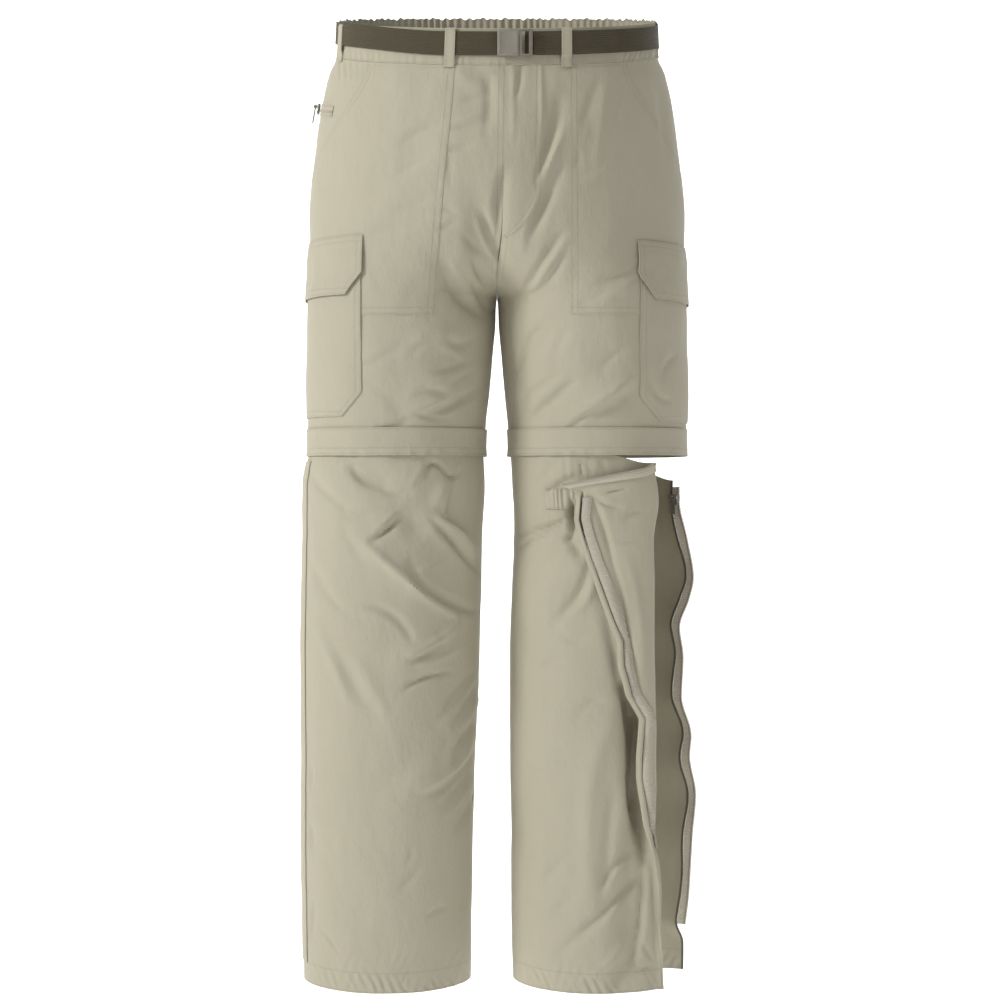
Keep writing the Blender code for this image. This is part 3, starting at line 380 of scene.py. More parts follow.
# Creases, placed on the photo's plane, where a unit is 1.12 mm at the trousers' middle: from x0, y0
# by way of x1, y1 to x2, y2. A trough has a height below 0. Each side of it has its own width, in units. The
# columns are x0, y0, x1, y1, x2, y2, height, width on the left and width on the right.
CREASES_FRONT = (
    # wearer's right hip and thigh
    (402, 143, 420, 133, 437, 127, -1.3, 5, 8),
    (396, 178, 412, 166, 432, 157, -1.3, 5, 8),
    (400, 210, 415, 205, 428, 203, -0.9, 4, 6),
    (370, 235, 395, 228, 425, 218, -0.9, 4, 7),
    (395, 190, 360, 230, 330, 235, 0.8, 9, 12),
    (455, 72, 466, 78, 478, 90, 1.6, 9, 9),
    (487, 75, 490, 100, 486, 132, -2.2, 6, 5),
    (464, 101, 475, 98, 487, 96, -1.2, 3, 4),
    (454, 122, 466, 120, 480, 117, 1.1, 3, 4),
    (450, 128, 468, 127, 484, 124, -1.1, 3, 3),
    (450, 150, 460, 148, 473, 147, -1.1, 3, 4),
    (451, 150, 449, 168, 451, 187, -1.0, 2.5, 4),
    (438, 212, 448, 210, 456, 213, -0.9, 3, 3),
    (438, 231, 447, 226, 456, 222, -1.2, 3, 3),
    (504, 172, 497, 205, 498, 250, -4.0, 4, 9),
    (481, 212, 488, 230, 500, 262, -2.4, 6, 5),
    (477, 213, 484, 240, 498, 268, 1.8, 4, 4),
    (462, 235, 478, 250, 496, 274, -1.3, 5, 5),
    (474, 260, 482, 278, 496, 292, -2.2, 4, 5),
    (479, 252, 490, 270, 499, 284, 1.3, 3, 3),
    (444, 268, 460, 298, 487, 316, -2.4, 6, 8),
    (474, 284, 481, 300, 492, 311, -2.0, 4, 5),
    (452, 262, 470, 292, 490, 306, 1.2, 5, 5),
    (362, 358, 380, 350, 396, 344, 0.9, 4, 4),
    (365, 367, 380, 360, 394, 353, -0.9, 4, 5),
    (412, 356, 425, 344, 442, 338, -1.4, 4, 6),
    (450, 339, 462, 345, 478, 334, -1.8, 4, 5),
    (438, 344, 450, 350, 464, 357, 0.9, 4, 4),
    (432, 373, 450, 369, 464, 361, -2.0, 4, 5),
    (454, 384, 463, 378, 474, 371, -1.6, 3, 4),
    (416, 396, 430, 391, 447, 396, -1.7, 3, 5),
    (408, 413, 436, 402, 468, 384, 2.4, 4, 5),
    (432, 413, 456, 404, 480, 388, -2.6, 4, 5),
    (414, 412, 430, 418, 447, 420, -1.2, 3, 4),
    (378, 430, 396, 426, 414, 418, -1.0, 3, 4),
    (372, 385, 390, 398, 400, 415, -0.7, 8, 8),
    # wearer's left hip and thigh
    (523, 60, 519, 80, 515, 100, -1.5, 3, 4),
    (512, 62, 514, 90, 512, 140, 0.8, 4, 3),
    (541, 66, 542, 110, 541, 150, 0.8, 3, 3),
    (558, 104, 549, 140, 537, 180, -2.8, 4, 6),
    (563, 130, 553, 156, 541, 180, 2.0, 4, 4),
    (564, 160, 546, 195, 528, 238, -2.2, 5, 7),
    (548, 184, 532, 212, 522, 250, 1.6, 5, 5),
    (563, 232, 541, 262, 523, 294, -2.2, 4, 6),
    (566, 240, 547, 268, 530, 294, 1.3, 4, 4),
    (567, 252, 553, 272, 540, 293, -1.8, 4, 5),
    (598, 80, 591, 100, 582, 127, -1.1, 5, 6),
    (604, 88, 600, 130, 594, 182, 0.8, 6, 6),
    (623, 84, 618, 108, 614, 132, -0.9, 5, 5),
    (616, 158, 600, 174, 574, 186, 0.9, 5, 5),
    (577, 148, 578, 160, 574, 169, -0.9, 3, 3),
    (641, 268, 616, 277, 592, 286, -1.8, 5, 7),
    (637, 279, 622, 290, 602, 302, 1.1, 5, 5),
    (606, 292, 590, 300, 576, 306, -1.0, 5, 5),
    (656, 82, 662, 110, 666, 152, -1.8, 5, 7),
    (636, 84, 645, 96, 651, 107, -0.9, 2.5, 3),
    (640, 100, 650, 112, 655, 124, -0.8, 2.5, 3),
    (656, 262, 668, 280, 677, 299, 0.9, 3, 3),
    (650, 272, 660, 288, 668, 300, -0.8, 3, 4),
    (542, 327, 527, 343, 518, 370, -1.9, 4, 5),
    (567, 330, 558, 345, 553, 364, -1.2, 5, 6),
    (627, 349, 612, 357, 602, 369, -1.1, 5, 5),
    (630, 379, 606, 397, 578, 413, 2.4, 5, 5),
    (634, 388, 612, 406, 590, 417, -1.8, 5, 6),
    (553, 377, 537, 388, 521, 401, -1.4, 4, 6),
    (566, 377, 546, 394, 529, 413, 1.4, 4, 4),
    (574, 381, 553, 400, 530, 420, -1.8, 4, 5),
    (590, 413, 580, 420, 569, 427, -1.8, 2.5, 3),
    (645, 371, 655, 394, 669, 400, -1.3, 3, 4),
    (674, 354, 665, 365, 662, 379, -1.3, 3, 4),
    # wearer's right shin
    (351, 466, 363, 481, 384, 488, -2.8, 3.5, 5),
    (382, 489, 395, 494, 410, 491, -1.2, 3, 4),
    (426, 476, 431, 464, 444, 469, -2.4, 3, 3),
    (443, 469, 452, 477, 459, 471, -2.4, 3, 3),
    (340, 468, 352, 462, 368, 458, 0.9, 3, 3),
    (410, 486, 417, 476, 424, 462, 0.9, 3, 3),
    (448, 480, 441, 495, 436, 508, 2.4, 9, 11),
    (455, 484, 450, 503, 449, 518, -1.8, 3, 6),
    (371, 542, 388, 530, 402, 515, -3.0, 3, 4),
    (375, 530, 388, 520, 397, 511, 1.5, 3, 3),
    (366, 545, 404, 577, 452, 614, 3.0, 5, 5),
    (454, 612, 449, 632, 413, 654, 2.4, 4, 5),
    (411, 563, 430, 592, 478, 612, -3.0, 5, 6),
    (420, 572, 431, 567, 443, 560, 1.0, 3, 3),
    (434, 522, 455, 544, 476, 569, -3.4, 4, 5),
    (438, 519, 460, 533, 475, 553, 2.6, 4, 4),
    (366, 607, 393, 616, 412, 641, -1.8, 4, 5),
    (411, 662, 426, 655, 446, 640, -1.9, 3, 4),
    (420, 667, 440, 659, 464, 646, 1.1, 4, 4),
    (404, 691, 420, 680, 449, 672, -2.2, 3, 4),
    (440, 716, 455, 692, 474, 672, -1.6, 4, 4),
    (442, 726, 459, 701, 473, 680, 1.4, 3, 3),
    (452, 724, 466, 705, 479, 682, -1.8, 3, 4),
    (459, 728, 470, 712, 478, 698, 1.2, 3, 3),
    (472, 712, 456, 735, 447, 758, 1.3, 4, 4),
    (477, 720, 462, 740, 453, 760, -1.8, 4, 4),
    (472, 734, 456, 766, 420, 790, 2.2, 4, 4),
    (475, 752, 458, 776, 432, 794, -1.8, 4, 5),
    (474, 770, 456, 790, 441, 810, -1.6, 4, 4),
    (468, 788, 457, 804, 447, 817, 1.1, 3, 3),
    (477, 790, 465, 814, 454, 832, -1.3, 4, 4),
    (315, 620, 334, 664, 352, 708, 1.2, 6, 6),
    (338, 652, 352, 682, 372, 715, -1.1, 6, 8),
    (350, 655, 375, 692, 392, 735, 0.9, 7, 9),
    (311, 556, 325, 590, 347, 612, -1.0, 5, 6),
    (309, 474, 323, 490, 347, 510, -1.2, 4, 6),
    (346, 519, 360, 517, 378, 513, -0.9, 3, 4),
    (345, 530, 355, 550, 366, 566, -0.7, 5, 5),
    (400, 891, 410, 880, 421, 868, -0.8, 3, 4),
    (428, 923, 434, 912, 446, 907, -1.0, 3, 4),
    (410, 846, 411, 857, 404, 866, -0.7, 3, 3),
    (321, 929, 330, 940, 338, 953, -0.9, 1.8, 1.8),
    (311, 766, 311, 778, 311, 790, -1.2, 2, 3),
    (311, 824, 312, 838, 311, 852, -1.2, 2, 3),
    (313, 902, 312, 920, 310, 938, -1.4, 2, 3),
    # wearer's left shin
    (547, 492, 560, 484, 578, 477, -2.2, 3, 4),
    (572, 514, 553, 526, 518, 535, -2.0, 4, 4),
    (570, 521, 548, 533, 520, 541, 1.3, 3, 3),
    (547, 537, 530, 541, 518, 551, -1.6, 2.5, 3),
    (555, 463, 545, 474, 533, 484, -1.0, 3, 4),
    (580, 458, 580, 468, 582, 477, -1.3, 1.8, 2),
    (588, 458, 587, 465, 591, 473, -1.3, 1.8, 2),
    (602, 458, 603, 465, 605, 471, -1.2, 1.8, 2),
    (572, 502, 571, 512, 571, 526, -7.0, 3.6, 4),
    (573, 522, 571, 532, 566, 540, -3.5, 3.5, 4.5),
    (562, 536, 574, 545, 580, 558, -3.0, 6, 6),
    (541, 556, 558, 546, 576, 548, -1.6, 6, 7),
    (588, 561, 579, 592, 553, 622, -2.4, 5, 6),
    (593, 572, 586, 600, 560, 625, 1.5, 5, 5),
    (562, 634, 575, 640, 592, 630, -0.9, 5, 5),
    (538, 674, 550, 665, 563, 663, -1.0, 4, 5),
    (576, 720, 590, 704, 604, 704, -1.0, 5, 6),
    (606, 725, 590, 800, 590, 905, 1.8, 13, 11),
    (613, 785, 608, 845, 602, 905, -1.5, 6, 8),
    (634, 843, 617, 864, 601, 886, -1.9, 4, 5),
    (634, 855, 619, 871, 605, 890, 1.2, 3, 4),
    (637, 871, 612, 904, 560, 951, -2.4, 5, 7),
    (637, 884, 624, 900, 606, 922, 1.4, 4, 4),
    (643, 852, 640, 905, 631, 962, -3.2, 4, 5),
    (650, 880, 656, 925, 655, 958, 1.5, 3, 4),
    (545, 882, 552, 870, 573, 855, -1.2, 4, 6),
    (549, 916, 560, 908, 576, 897, -1.0, 4, 5),
    (625, 936, 611, 960, 588, 976, 1.8, 4, 5),
    (622, 962, 618, 977, 615, 990, -1.5, 5, 6),
    (644, 944, 650, 955, 657, 962, -1.5, 3, 3),
    (638, 970, 650, 967, 661, 960, -1.3, 3, 3),
    (626, 690, 634, 735, 634, 776, -13.0, 6, 9),
    (634, 776, 637, 812, 645, 858, -13.0, 6, 9),
    (606, 620, 614, 652, 620, 690, -2.0, 6, 5),
)
CREASES_BACK = (
    (470, 270, 430, 300, 380, 300, 3.0, 8, 9),
    (524, 268, 560, 300, 610, 298, 3.0, 8, 9),
    (482, 285, 450, 330, 400, 340, -3.2, 6, 9),
    (514, 285, 545, 332, 600, 345, -3.2, 6, 9),
    (485, 300, 465, 350, 430, 376, -2.4, 5, 7),
    (512, 300, 530, 350, 566, 376, -2.4, 5, 7),
    (488, 320, 474, 366, 450, 400, 2.0, 5, 6),
    (508, 320, 522, 366, 548, 400, 2.0, 5, 6),
    (470, 90, 450, 150, 400, 190, 1.6, 10, 10),
    (530, 95, 552, 150, 600, 185, 1.6, 10, 10),
    (455, 100, 430, 150, 390, 170, -1.5, 6, 8),
    (545, 100, 570, 150, 612, 168, -1.5, 6, 8),
    (330, 340, 370, 372, 440, 380, -2.0, 6, 8),
    (660, 345, 630, 370, 560, 386, -2.0, 6, 8),
    (340, 390, 380, 404, 440, 402, 1.6, 5, 6),
    (650, 395, 610, 408, 560, 410, 1.6, 5, 6),
    (310, 490, 350, 512, 430, 506, -3.2, 4, 6),
    (316, 524, 365, 548, 440, 532, 2.8, 6, 6),
    (312, 560, 370, 575, 455, 556, -3.2, 5, 6),
    (320, 588, 380, 606, 470, 580, 2.4, 5, 6),
    (474, 600, 420, 630, 350, 626, -2.4, 5, 6),
    (310, 640, 350, 660, 420, 656, 2.0, 7, 8),
    (474, 670, 430, 700, 370, 704, -1.8, 5, 7),
    (690, 505, 640, 526, 560, 520, -3.0, 4, 6),
    (520, 540, 570, 560, 650, 548, 2.6, 5, 6),
    (530, 570, 590, 590, 664, 575, -3.0, 5, 6),
    (690, 620, 640, 640, 560, 634, -2.2, 6, 8),
    (524, 660, 560, 690, 620, 694, -1.8, 5, 7),
    (350, 720, 344, 800, 352, 880, 1.4, 12, 14),
    (430, 740, 436, 820, 430, 900, -1.4, 12, 14),
    (560, 720, 566, 800, 560, 880, 1.4, 12, 14),
    (630, 740, 640, 820, 632, 900, -1.6, 12, 14),
)
CREASES_LAPEL = (
    (592, 498, 604, 530, 613, 562, -2.2, 5, 4),
    (613, 562, 626, 620, 638, 692, -2.2, 5, 4),
    (596, 497, 606, 506, 621, 508, -1.6, 2.5, 3),
    (600, 493, 612, 492, 626, 489, -1.2, 1.6, 2),
    (625, 520, 634, 514, 646, 512, -1.1, 4, 5),
    (612, 541, 625, 542, 640, 541, -0.7, 1.5, 2),
    (628, 560, 640, 620, 644, 690, 1.0, 6, 6),
)
CREASED, CREASE_WIDTH = 2.1, 0.86  # how strong and how wide the creases are
UPPER_CREASED = 0.78  # those of the shorts are shallower by this
CAMERA = (3.36, -2600.0, -520.8)  # where the photo was taken from
UNIT = 1.12  # millimetres in a unit of the photo's plane
HALF_PICTURE = 500  # units
CREASE_POINTS, CREASE_REACH = 13, 2.6  # points along a crease, and the widths past which it has died away


def seen_at(points):
    """Where the camera sees points, in units, with y down."""
    near = -CAMERA[1] / (points[..., 1] - CAMERA[1])
    across = HALF_PICTURE + (points[..., 0] - CAMERA[0]) * near / UNIT
    down = HALF_PICTURE - (points[..., 2] - CAMERA[2]) * near / UNIT
    return across, down


def crease_lift(points, table):
    """How far a table's creases lift each point."""
    x, y = seen_at(points)
    lift = np.zeros(x.shape)
    share = spread(0, 1, CREASE_POINTS)
    bow = np.stack([(1 - share) ** 2, 2 * share * (1 - share), share**2])
    taper = np.sin(math.pi * (0.06 + 0.88 * share)) ** 0.7
    for x0, y0, x1, y1, x2, y2, height, left, right in table:
        ends = ((x0, x1, x2), (y0, y1, y2))
        line = np.stack([np.array([a, 2 * b - (a + c) / 2, c]) @ bow for a, b, c in ends], axis=1)
        reach = CREASE_REACH * max(left, right)
        near = (x > line[:, 0].min() - reach) & (x < line[:, 0].max() + reach)
        near &= (y > line[:, 1].min() - reach) & (y < line[:, 1].max() + reach)
        if not near.any():
            continue
        best, side_of, strong = np.full(near.sum(), 1e9), np.zeros(near.sum()), np.zeros(near.sum())
        for i, (start_x, start_y) in enumerate(line[:-1]):
            along = line[i + 1] - line[i]
            from_x, from_y = x[near] - start_x, y[near] - start_y
            at = np.clip((from_x * along[0] + from_y * along[1]) / (along @ along), 0, 1)
            gap_x, gap_y = from_x - at * along[0], from_y - at * along[1]
            away = np.hypot(gap_x, gap_y)
            turn = (along[0] * gap_y - along[1] * gap_x) / np.maximum(away * np.hypot(*along), 1e-9)
            closer = away < best
            best = np.where(closer, away, best)
            side_of = np.where(closer, turn, side_of)
            strong = np.where(closer, taper[i] * (1 - at) + taper[i + 1] * at, strong)
        wide = CREASE_WIDTH * (left + (right - left) * (0.5 - 0.5 * np.clip(side_of, -1, 1)))
        lift[near] += CREASED * height * strong * np.exp(-((best / wide) ** 2))
    return lift


def creased(points, front, strength=1.0):
    """The same grid with its creases, moved along its own outward directions."""
    front = np.broadcast_to(front, points.shape[:2])
    lift = np.zeros(front.shape)
    for table, on in ((CREASES_FRONT, front), (CREASES_BACK, ~front)):
        if on.any():
            lift = np.where(on, crease_lift(points, table), lift)
    return points + normals(points) * ((lift + unevenness(points)) * strength)[..., None]


# Small puckers where the cloth is drawn in: a patch of the photo's plane from x0 to x1 and y0 to y1, then the
# pitch, height and slant of its ripples.
PUCKERS = (
    (334, 380, 50, 78, 5.6, 0.8, 0.05),
    (622, 654, 48, 76, 5.2, 0.8, 0.25),
    (440, 470, 58, 70, 6.0, 0.4, 0.1),
    (555, 608, 456, 478, 8.0, 0.7, 0.1),
    (335, 350, 458, 470, 6.0, 0.5, 0.1),
    (340, 462, 950, 990, 9.0, 0.7, 0.5),
    (311, 330, 945, 976, 7.0, 0.8, 0.4),
    (550, 610, 964, 992, 9.0, 0.7, 0.5),
    (628, 664, 940, 975, 8.0, 0.7, 0.6),
)


def pucker_lift(points):
    x, y = seen_at(points)
    lift = np.zeros(x.shape)
    for x0, x1, y0, y1, pitch, height, slant in PUCKERS:
        patch = ease(x0 - 4, x0 + 4, x) * ease(-x1 - 4, 4 - x1, -x)
        patch = patch * ease(y0 - 5, y0 + 5, y) * ease(-y1 - 6, 4 - y1, -y)
        phase = math.tau * (x + slant * y) / pitch + 1.4 * np.sin(x / 17 + y / 9)
        lift += height * patch * np.cos(phase) * (0.65 + 0.35 * np.sin(x / 9 + 1))
    return lift


def unevenness(points):
    """The slight waves of thin cloth between its creases."""
    x, y = seen_at(points)
    broad = np.sin(x / 13 + 1.7 * np.sin(y / 41)) * np.sin(y / 29 + 1.4 * np.sin(x / 23 + 1))
    small = np.sin(x / 5.3 + 2.1 * np.sin(y / 19 + 2)) * np.sin(y / 12 + 1.6 * np.sin(x / 11))
    patch = 0.5 + 0.5 * np.sin(x / 37 + 2) * np.sin(y / 53 + 1)
    return 0.5 * broad + 0.34 * small * patch + pucker_lift(points)


# Cloth shells

STEP = 2.7  # between the rows of a shell
SHARP = {"shell": 50, "buckle": 35, "tooth": 40}  # degrees past which an edge is drawn sharp
LEAST_SHEET = 0.01  # metres, the least width and length that a sheet may state
SIDES = (("right", RIGHT), ("left", LEFT))
# Name, sign of its turns, step of its rows, and its columns in the shorts and in a lower leg
PARTS = (("front", 1, STEP, 112, 104), ("back", -1, 4.2, 76, 72))


def lengths(points, axis):
    """Arc length along a grid, from its start."""
    gaps = np.linalg.norm(np.diff(points, axis=axis), axis=-1)
    start = np.zeros_like(np.take(gaps, [0], axis=axis))
    return np.cumsum(np.concatenate([start, gaps], axis=axis), axis=axis)


def at_length(spots, gone, line):
    """Points of a line at lengths along it."""
    return np.stack([np.interp(spots, gone, line[:, axis]) for axis in range(3)], axis=-1)


def unit(vectors):
    return vectors / np.linalg.norm(vectors, axis=-1, keepdims=True)


def added(name, data):
    made = bpy.data.objects.new(name, data)
    bpy.context.scene.collection.objects.link(made)
    return made


def put_object(name, mesh, material):
    made = added(name, mesh)
    mesh.materials.append(material)
    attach(made, "trousers")
    return made


def smooth(mesh, sharp):
    mesh.shade_smooth()
    mesh.set_sharp_from_angle(angle=math.radians(sharp))


def shell(name, low, high, material, node=None, ring=False, held="hung", stretch=1.0, rests=(), slot=None):
    """A thin shell between two grids of points. Its cloth's own lengths are its map, and
    another map holds the lengths left to its far edges. Its name says which node it replaces.
    """
    node, slot = node or name.rsplit("_", 1)[0], slot or name.rsplit("_", 1)[1]
    rows, columns = low.shape[:2]
    layer = rows * columns
    number = np.arange(layer).reshape(rows, columns)
    if ring:
        number = np.concatenate([number, number[:, :1]], axis=1)
    corners = [number[:-1, :-1], number[:-1, 1:], number[1:, 1:], number[1:, :-1]]
    quads = np.stack(corners, axis=-1).reshape(-1, 4)
    edges = [number[0], number[-1][::-1]] + ([] if ring else [number[::-1, 0], number[:, -1]])
    rims = [np.stack([edge[1:], edge[:-1], edge[:-1] + layer, edge[1:] + layer], axis=-1) for edge in edges]
    faces = np.concatenate([quads + layer, quads[:, ::-1], *rims])
    mesh = bpy.data.meshes.new(name)
    points = np.concatenate([low.reshape(-1, 3), high.reshape(-1, 3)]) * MM
    mesh.from_pydata(points.tolist(), [], faces.tolist())
    closed = np.concatenate([high, high[:, :1]], axis=1) if ring else high
    across, down = lengths(closed, 1), lengths(closed, 0)
    row_of, column_of = faces % layer // columns, faces % layer % columns
    if ring:
        wraps = (column_of.max(axis=1) == columns - 1) & (column_of.min(axis=1) == 0)
        column_of = np.where(wraps[:, None] & (column_of == 0), columns, column_of)
    index = row_of * across.shape[1] + column_of
    near = np.stack([across.ravel()[index], down.ravel()[index]], axis=-1)
    far = [(across[:, -1:] - across).ravel()[index], (down[-1:] - down).ravel()[index], np.zeros(index.shape)]
    mesh.uv_layers.new(name="cloth").data.foreach_set("uv", (near * MM).reshape(-1))
    attribute = mesh.attributes.new("far_edges", "FLOAT_VECTOR", "CORNER")
    attribute.data.foreach_set("vector", (np.stack(far, axis=-1) * MM).reshape(-1))
    work = bmesh.new()
    work.from_mesh(mesh)
    bmesh.ops.recalc_face_normals(work, faces=work.faces)
    work.to_mesh(mesh)
    work.free()
    smooth(mesh, SHARP["shell"])
    made = put_object(name, mesh, material)
    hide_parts(node)
    wide, long = stretch * float(across[:, -1].max()) * MM, float(down[-1].max()) * MM
    area = float(0.5 * (across[1:, -1] + across[:-1, -1]) @ np.diff(down.mean(axis=1))) * MM * MM * stretch
    flat = (max(wide, LEAST_SHEET), max(long, LEAST_SHEET))
    area = max(min(area, flat[0] * flat[1]), 0.3 * flat[0] * flat[1])


def over(name, points, low, high, material, ring=False, **more):
    """A shell whose faces stand off a grid of points by low and high."""
    out = ring_normals(points) if ring else normals(points)
    low, high = (np.broadcast_to(lift, points.shape[:2])[..., None] for lift in (low, high))
    shell(name, points + out * low, points + out * high, material, ring=ring, **more)


# Materials, with their lengths in metres

CLOTH_COLOUR = (0.480, 0.447, 0.338)
CLOTH_SHADE = (0.436, 0.403, 0.300)
THREAD_AND_SEAM_SHADE = (0.36, 0.33, 0.24)
# Painted shade: the colour mixed into the open leg's groove and along the open back's edge by its tape
PAINTED_SHADE = (0.03, 0.026, 0.018)
STITCH = 0.0028  # from one stitch to the next
THREAD_EDGE, GROOVE_EDGE = (0.0002, 0.0009), (0.0004, 0.0026)  # half widths, full and faded out
WEAVE, WEAVE_DEPTH = 620.0, 0.00012
LAPEL_GROOVE = 0.0071  # the groove beside the rolled edge, painted dark as its shade
ROW, TWO_ROWS, WIDE_ROWS, HEM_ROWS = (0.0015,), (0.0015, 0.007), (0.002, 0.008), (0.0015, 0.022)


class Value:
    """A socket that sums can be written with."""

    def __init__(self, maker, socket):
        self.maker, self.socket = maker, socket

    def sum(self, operation, other=None, turned=False, clamp=False):
        inputs = (other, self) if turned else (self, other)
        settings = {"operation": operation, "use_clamp": clamp}
        return self.maker.value(self.maker.node("ShaderNodeMath", settings, inputs))

    def __add__(self, other):
        return self.sum("ADD", other)

    def __sub__(self, other):
        return self.sum("SUBTRACT", other)

    def __rsub__(self, other):
        return self.sum("SUBTRACT", other, turned=True)

    def __mul__(self, other):
        return self.sum("MULTIPLY", other)

    __radd__ = __add__

    def within(self, low, high):
        """0 below low, 1 above high and smooth between."""
        settings = {"interpolation_type": "SMOOTHSTEP"}
        return self.maker.value(self.maker.node("ShaderNodeMapRange", settings, [self, low, high, 0.0, 1.0]))


class Finish:
    """A material and the nodes that make it."""

    def __init__(self, name, colour, roughness, metallic=0.0, sheen=0.0):
        self.material = bpy.data.materials.new(name)
        self.material.use_nodes = True
        self.tree = self.material.node_tree
        self.shader = self.tree.nodes["Principled BSDF"]
        self.feed({
            "Base Color": (*colour, 1), "Roughness": roughness, "Metallic": metallic,
            "Sheen Weight": sheen, "Sheen Roughness": 0.4,
        })

    def fill(self, node, inputs):
        """Gives a node's sockets, by order or by name, their values or links."""
        for key, value in inputs.items() if isinstance(inputs, dict) else enumerate(inputs):
            value = value.socket if isinstance(value, Value) else value
            if isinstance(value, bpy.types.NodeSocket):
                self.tree.links.new(value, node.inputs[key])
            elif value is not None:
                node.inputs[key].default_value = value

    def feed(self, inputs):
        self.fill(self.shader, inputs)

    def node(self, kind, settings=(), inputs=()):
        """A node, its settings made first."""
        node = self.tree.nodes.new(kind)
        for key, value in dict(settings).items():
            setattr(node, key, value)
        self.fill(node, inputs)
        return node

    def value(self, node, output=0):
        return Value(self, node.outputs[output])

    def map(self):
        return self.node("ShaderNodeUVMap", {"uv_map": "cloth"}).outputs[0]

    def where(self):
        return self.node("ShaderNodeTexCoord").outputs["Object"]

    def noise(self, where, scale, detail=2.0, roughness=0.5):
        inputs = {"Vector": where, "Scale": scale, "Detail": detail, "Roughness": roughness}
        return self.value(self.node("ShaderNodeTexNoise", inputs=inputs))

    def wave(self, where, direction, scale, distortion=0.0):
        inputs = {"Vector": where, "Scale": scale, "Distortion": distortion}
        return self.value(self.node("ShaderNodeTexWave", {"bands_direction": direction}, inputs), "Fac")

    def upright(self, where, share):
        """The same places with their heights made smaller, which draws out upright what is drawn there."""
        inputs = [where, (1.0, 1.0, share)]
        return self.node("ShaderNodeVectorMath", {"operation": "MULTIPLY"}, inputs).outputs[0]

    def mix(self, factor, first, second):
        first, second = ((*tone, 1) if isinstance(tone, tuple) else tone for tone in (first, second))
        return self.node("ShaderNodeMix", {"data_type": "RGBA"}, {0: factor, 6: first, 7: second}).outputs[2]

    def bump(self, height, strength, distance, before=None):
        inputs = {"Height": height, "Strength": strength, "Distance": distance, "Normal": before}
        return self.node("ShaderNodeBump", inputs=inputs).outputs[0]

    def done(self, tint, normal, roughness):
        self.feed({"Base Color": tint, "Normal": normal, "Roughness": roughness})
        return self.material


def most(values):
    return values[0] if len(values) == 1 else most(values[:-1]).sum("MAXIMUM", values[-1])


def cloth_finish(name, left=(), right=(), top=(), bottom=(), painted_groove_shade=None, painted_edge_shade=None, puckers=0.0):
    """Light nylon with rows of stitches at the given distances from its edges."""
    made = Finish(name, CLOTH_COLOUR, 0.78, sheen=0.12)
    uv, where = made.map(), made.where()
    edges = made.node("ShaderNodeAttribute", {"attribute_name": "far_edges"}).outputs["Vector"]
    near, far = (made.node("ShaderNodeSeparateXYZ", inputs=[place]) for place in (uv, edges))
    u, v, far_u, far_v = (made.value(node, axis) for node in (near, far) for axis in (0, 1))
    threads, grooves = [], []
    for distances, away, along in ((left, u, v), (right, far_u, v), (top, v, u), (bottom, far_v, u)):
        for distance in distances:
            offset = (away - distance).sum("ABSOLUTE")
            beat = along.sum("DIVIDE", STITCH).sum("FRACT")
            dash = beat.within(0.1, 0.2) * (1 - beat.within(0.72, 0.82))
            threads.append((1 - offset.within(*THREAD_EDGE)) * dash)
            grooves.append(1 - offset.within(*GROOVE_EDGE))
    stitches, groove = most(threads), most(grooves)
    broad = made.noise(where, 7.0, 3.0)
    tone = (broad * 0.9 + made.noise(where, 900.0) * 0.35).sum("SUBTRACT", 0.12, clamp=True)
    tint = made.mix(tone, CLOTH_SHADE, CLOTH_COLOUR)
    crumple = made.noise(made.upright(where, 0.55), 38.0, 4.0, 0.55)
    soft = made.noise(made.upright(where, 0.4), 13.0)
    small = made.noise(made.upright(where, 0.5), 105.0, 3.0, 0.55)
    weave = made.wave(uv, "X", WEAVE, 0.6).sum("MAXIMUM", made.wave(uv, "Y", WEAVE, 0.6))
    normal = made.bump(crumple * 0.6 + soft + small * 0.22, 0.6, 0.005)
    normal = made.bump(weave, 0.10, WEAVE_DEPTH, normal)
    # Stitches take the thread's colour; the groove beside each row is tinted a tenth of the way to it as
    # painted shade
    tint = made.mix(stitches * 0.45, made.mix(groove * 0.10, tint, THREAD_AND_SEAM_SHADE), THREAD_AND_SEAM_SHADE)
    drawn = made.noise(uv, 210.0, 1.0) * groove
    normal = made.bump(stitches * 0.4 - groove * 0.35 + drawn * 0.8, 0.7, 0.0006, normal)
    if puckers:
        slant = (u * 560 + far_v * 240 + broad * 26).sum("SINE") * made.noise(uv, 30.0, 1.0).within(0.42, 0.6)
        normal = made.bump(slant * (1 - far_v.within(0.006, puckers)), 0.8, 0.0008, normal)
    # Painted shade: a dark band along the first edge, where the open back meets its tape
    if painted_edge_shade is not None:
        tint = made.mix((1 - u.within(0.0015, painted_edge_shade)) * 0.75, tint, PAINTED_SHADE)
    # Painted shade: a dark line down the groove beside the turned-back edge, fading out near its top and
    # bottom
    if painted_groove_shade is not None:
        side = (far_u - painted_groove_shade).sum("ABSOLUTE")
        deep = (1 - side.within(0.0009, 0.0019)) * far_v.within(0.09, 0.13) * v.within(0.012, 0.03)
        tint = made.mix(deep * 0.88, tint, PAINTED_SHADE)
    return made.done(tint, normal, 0.72 + broad * 0.14)


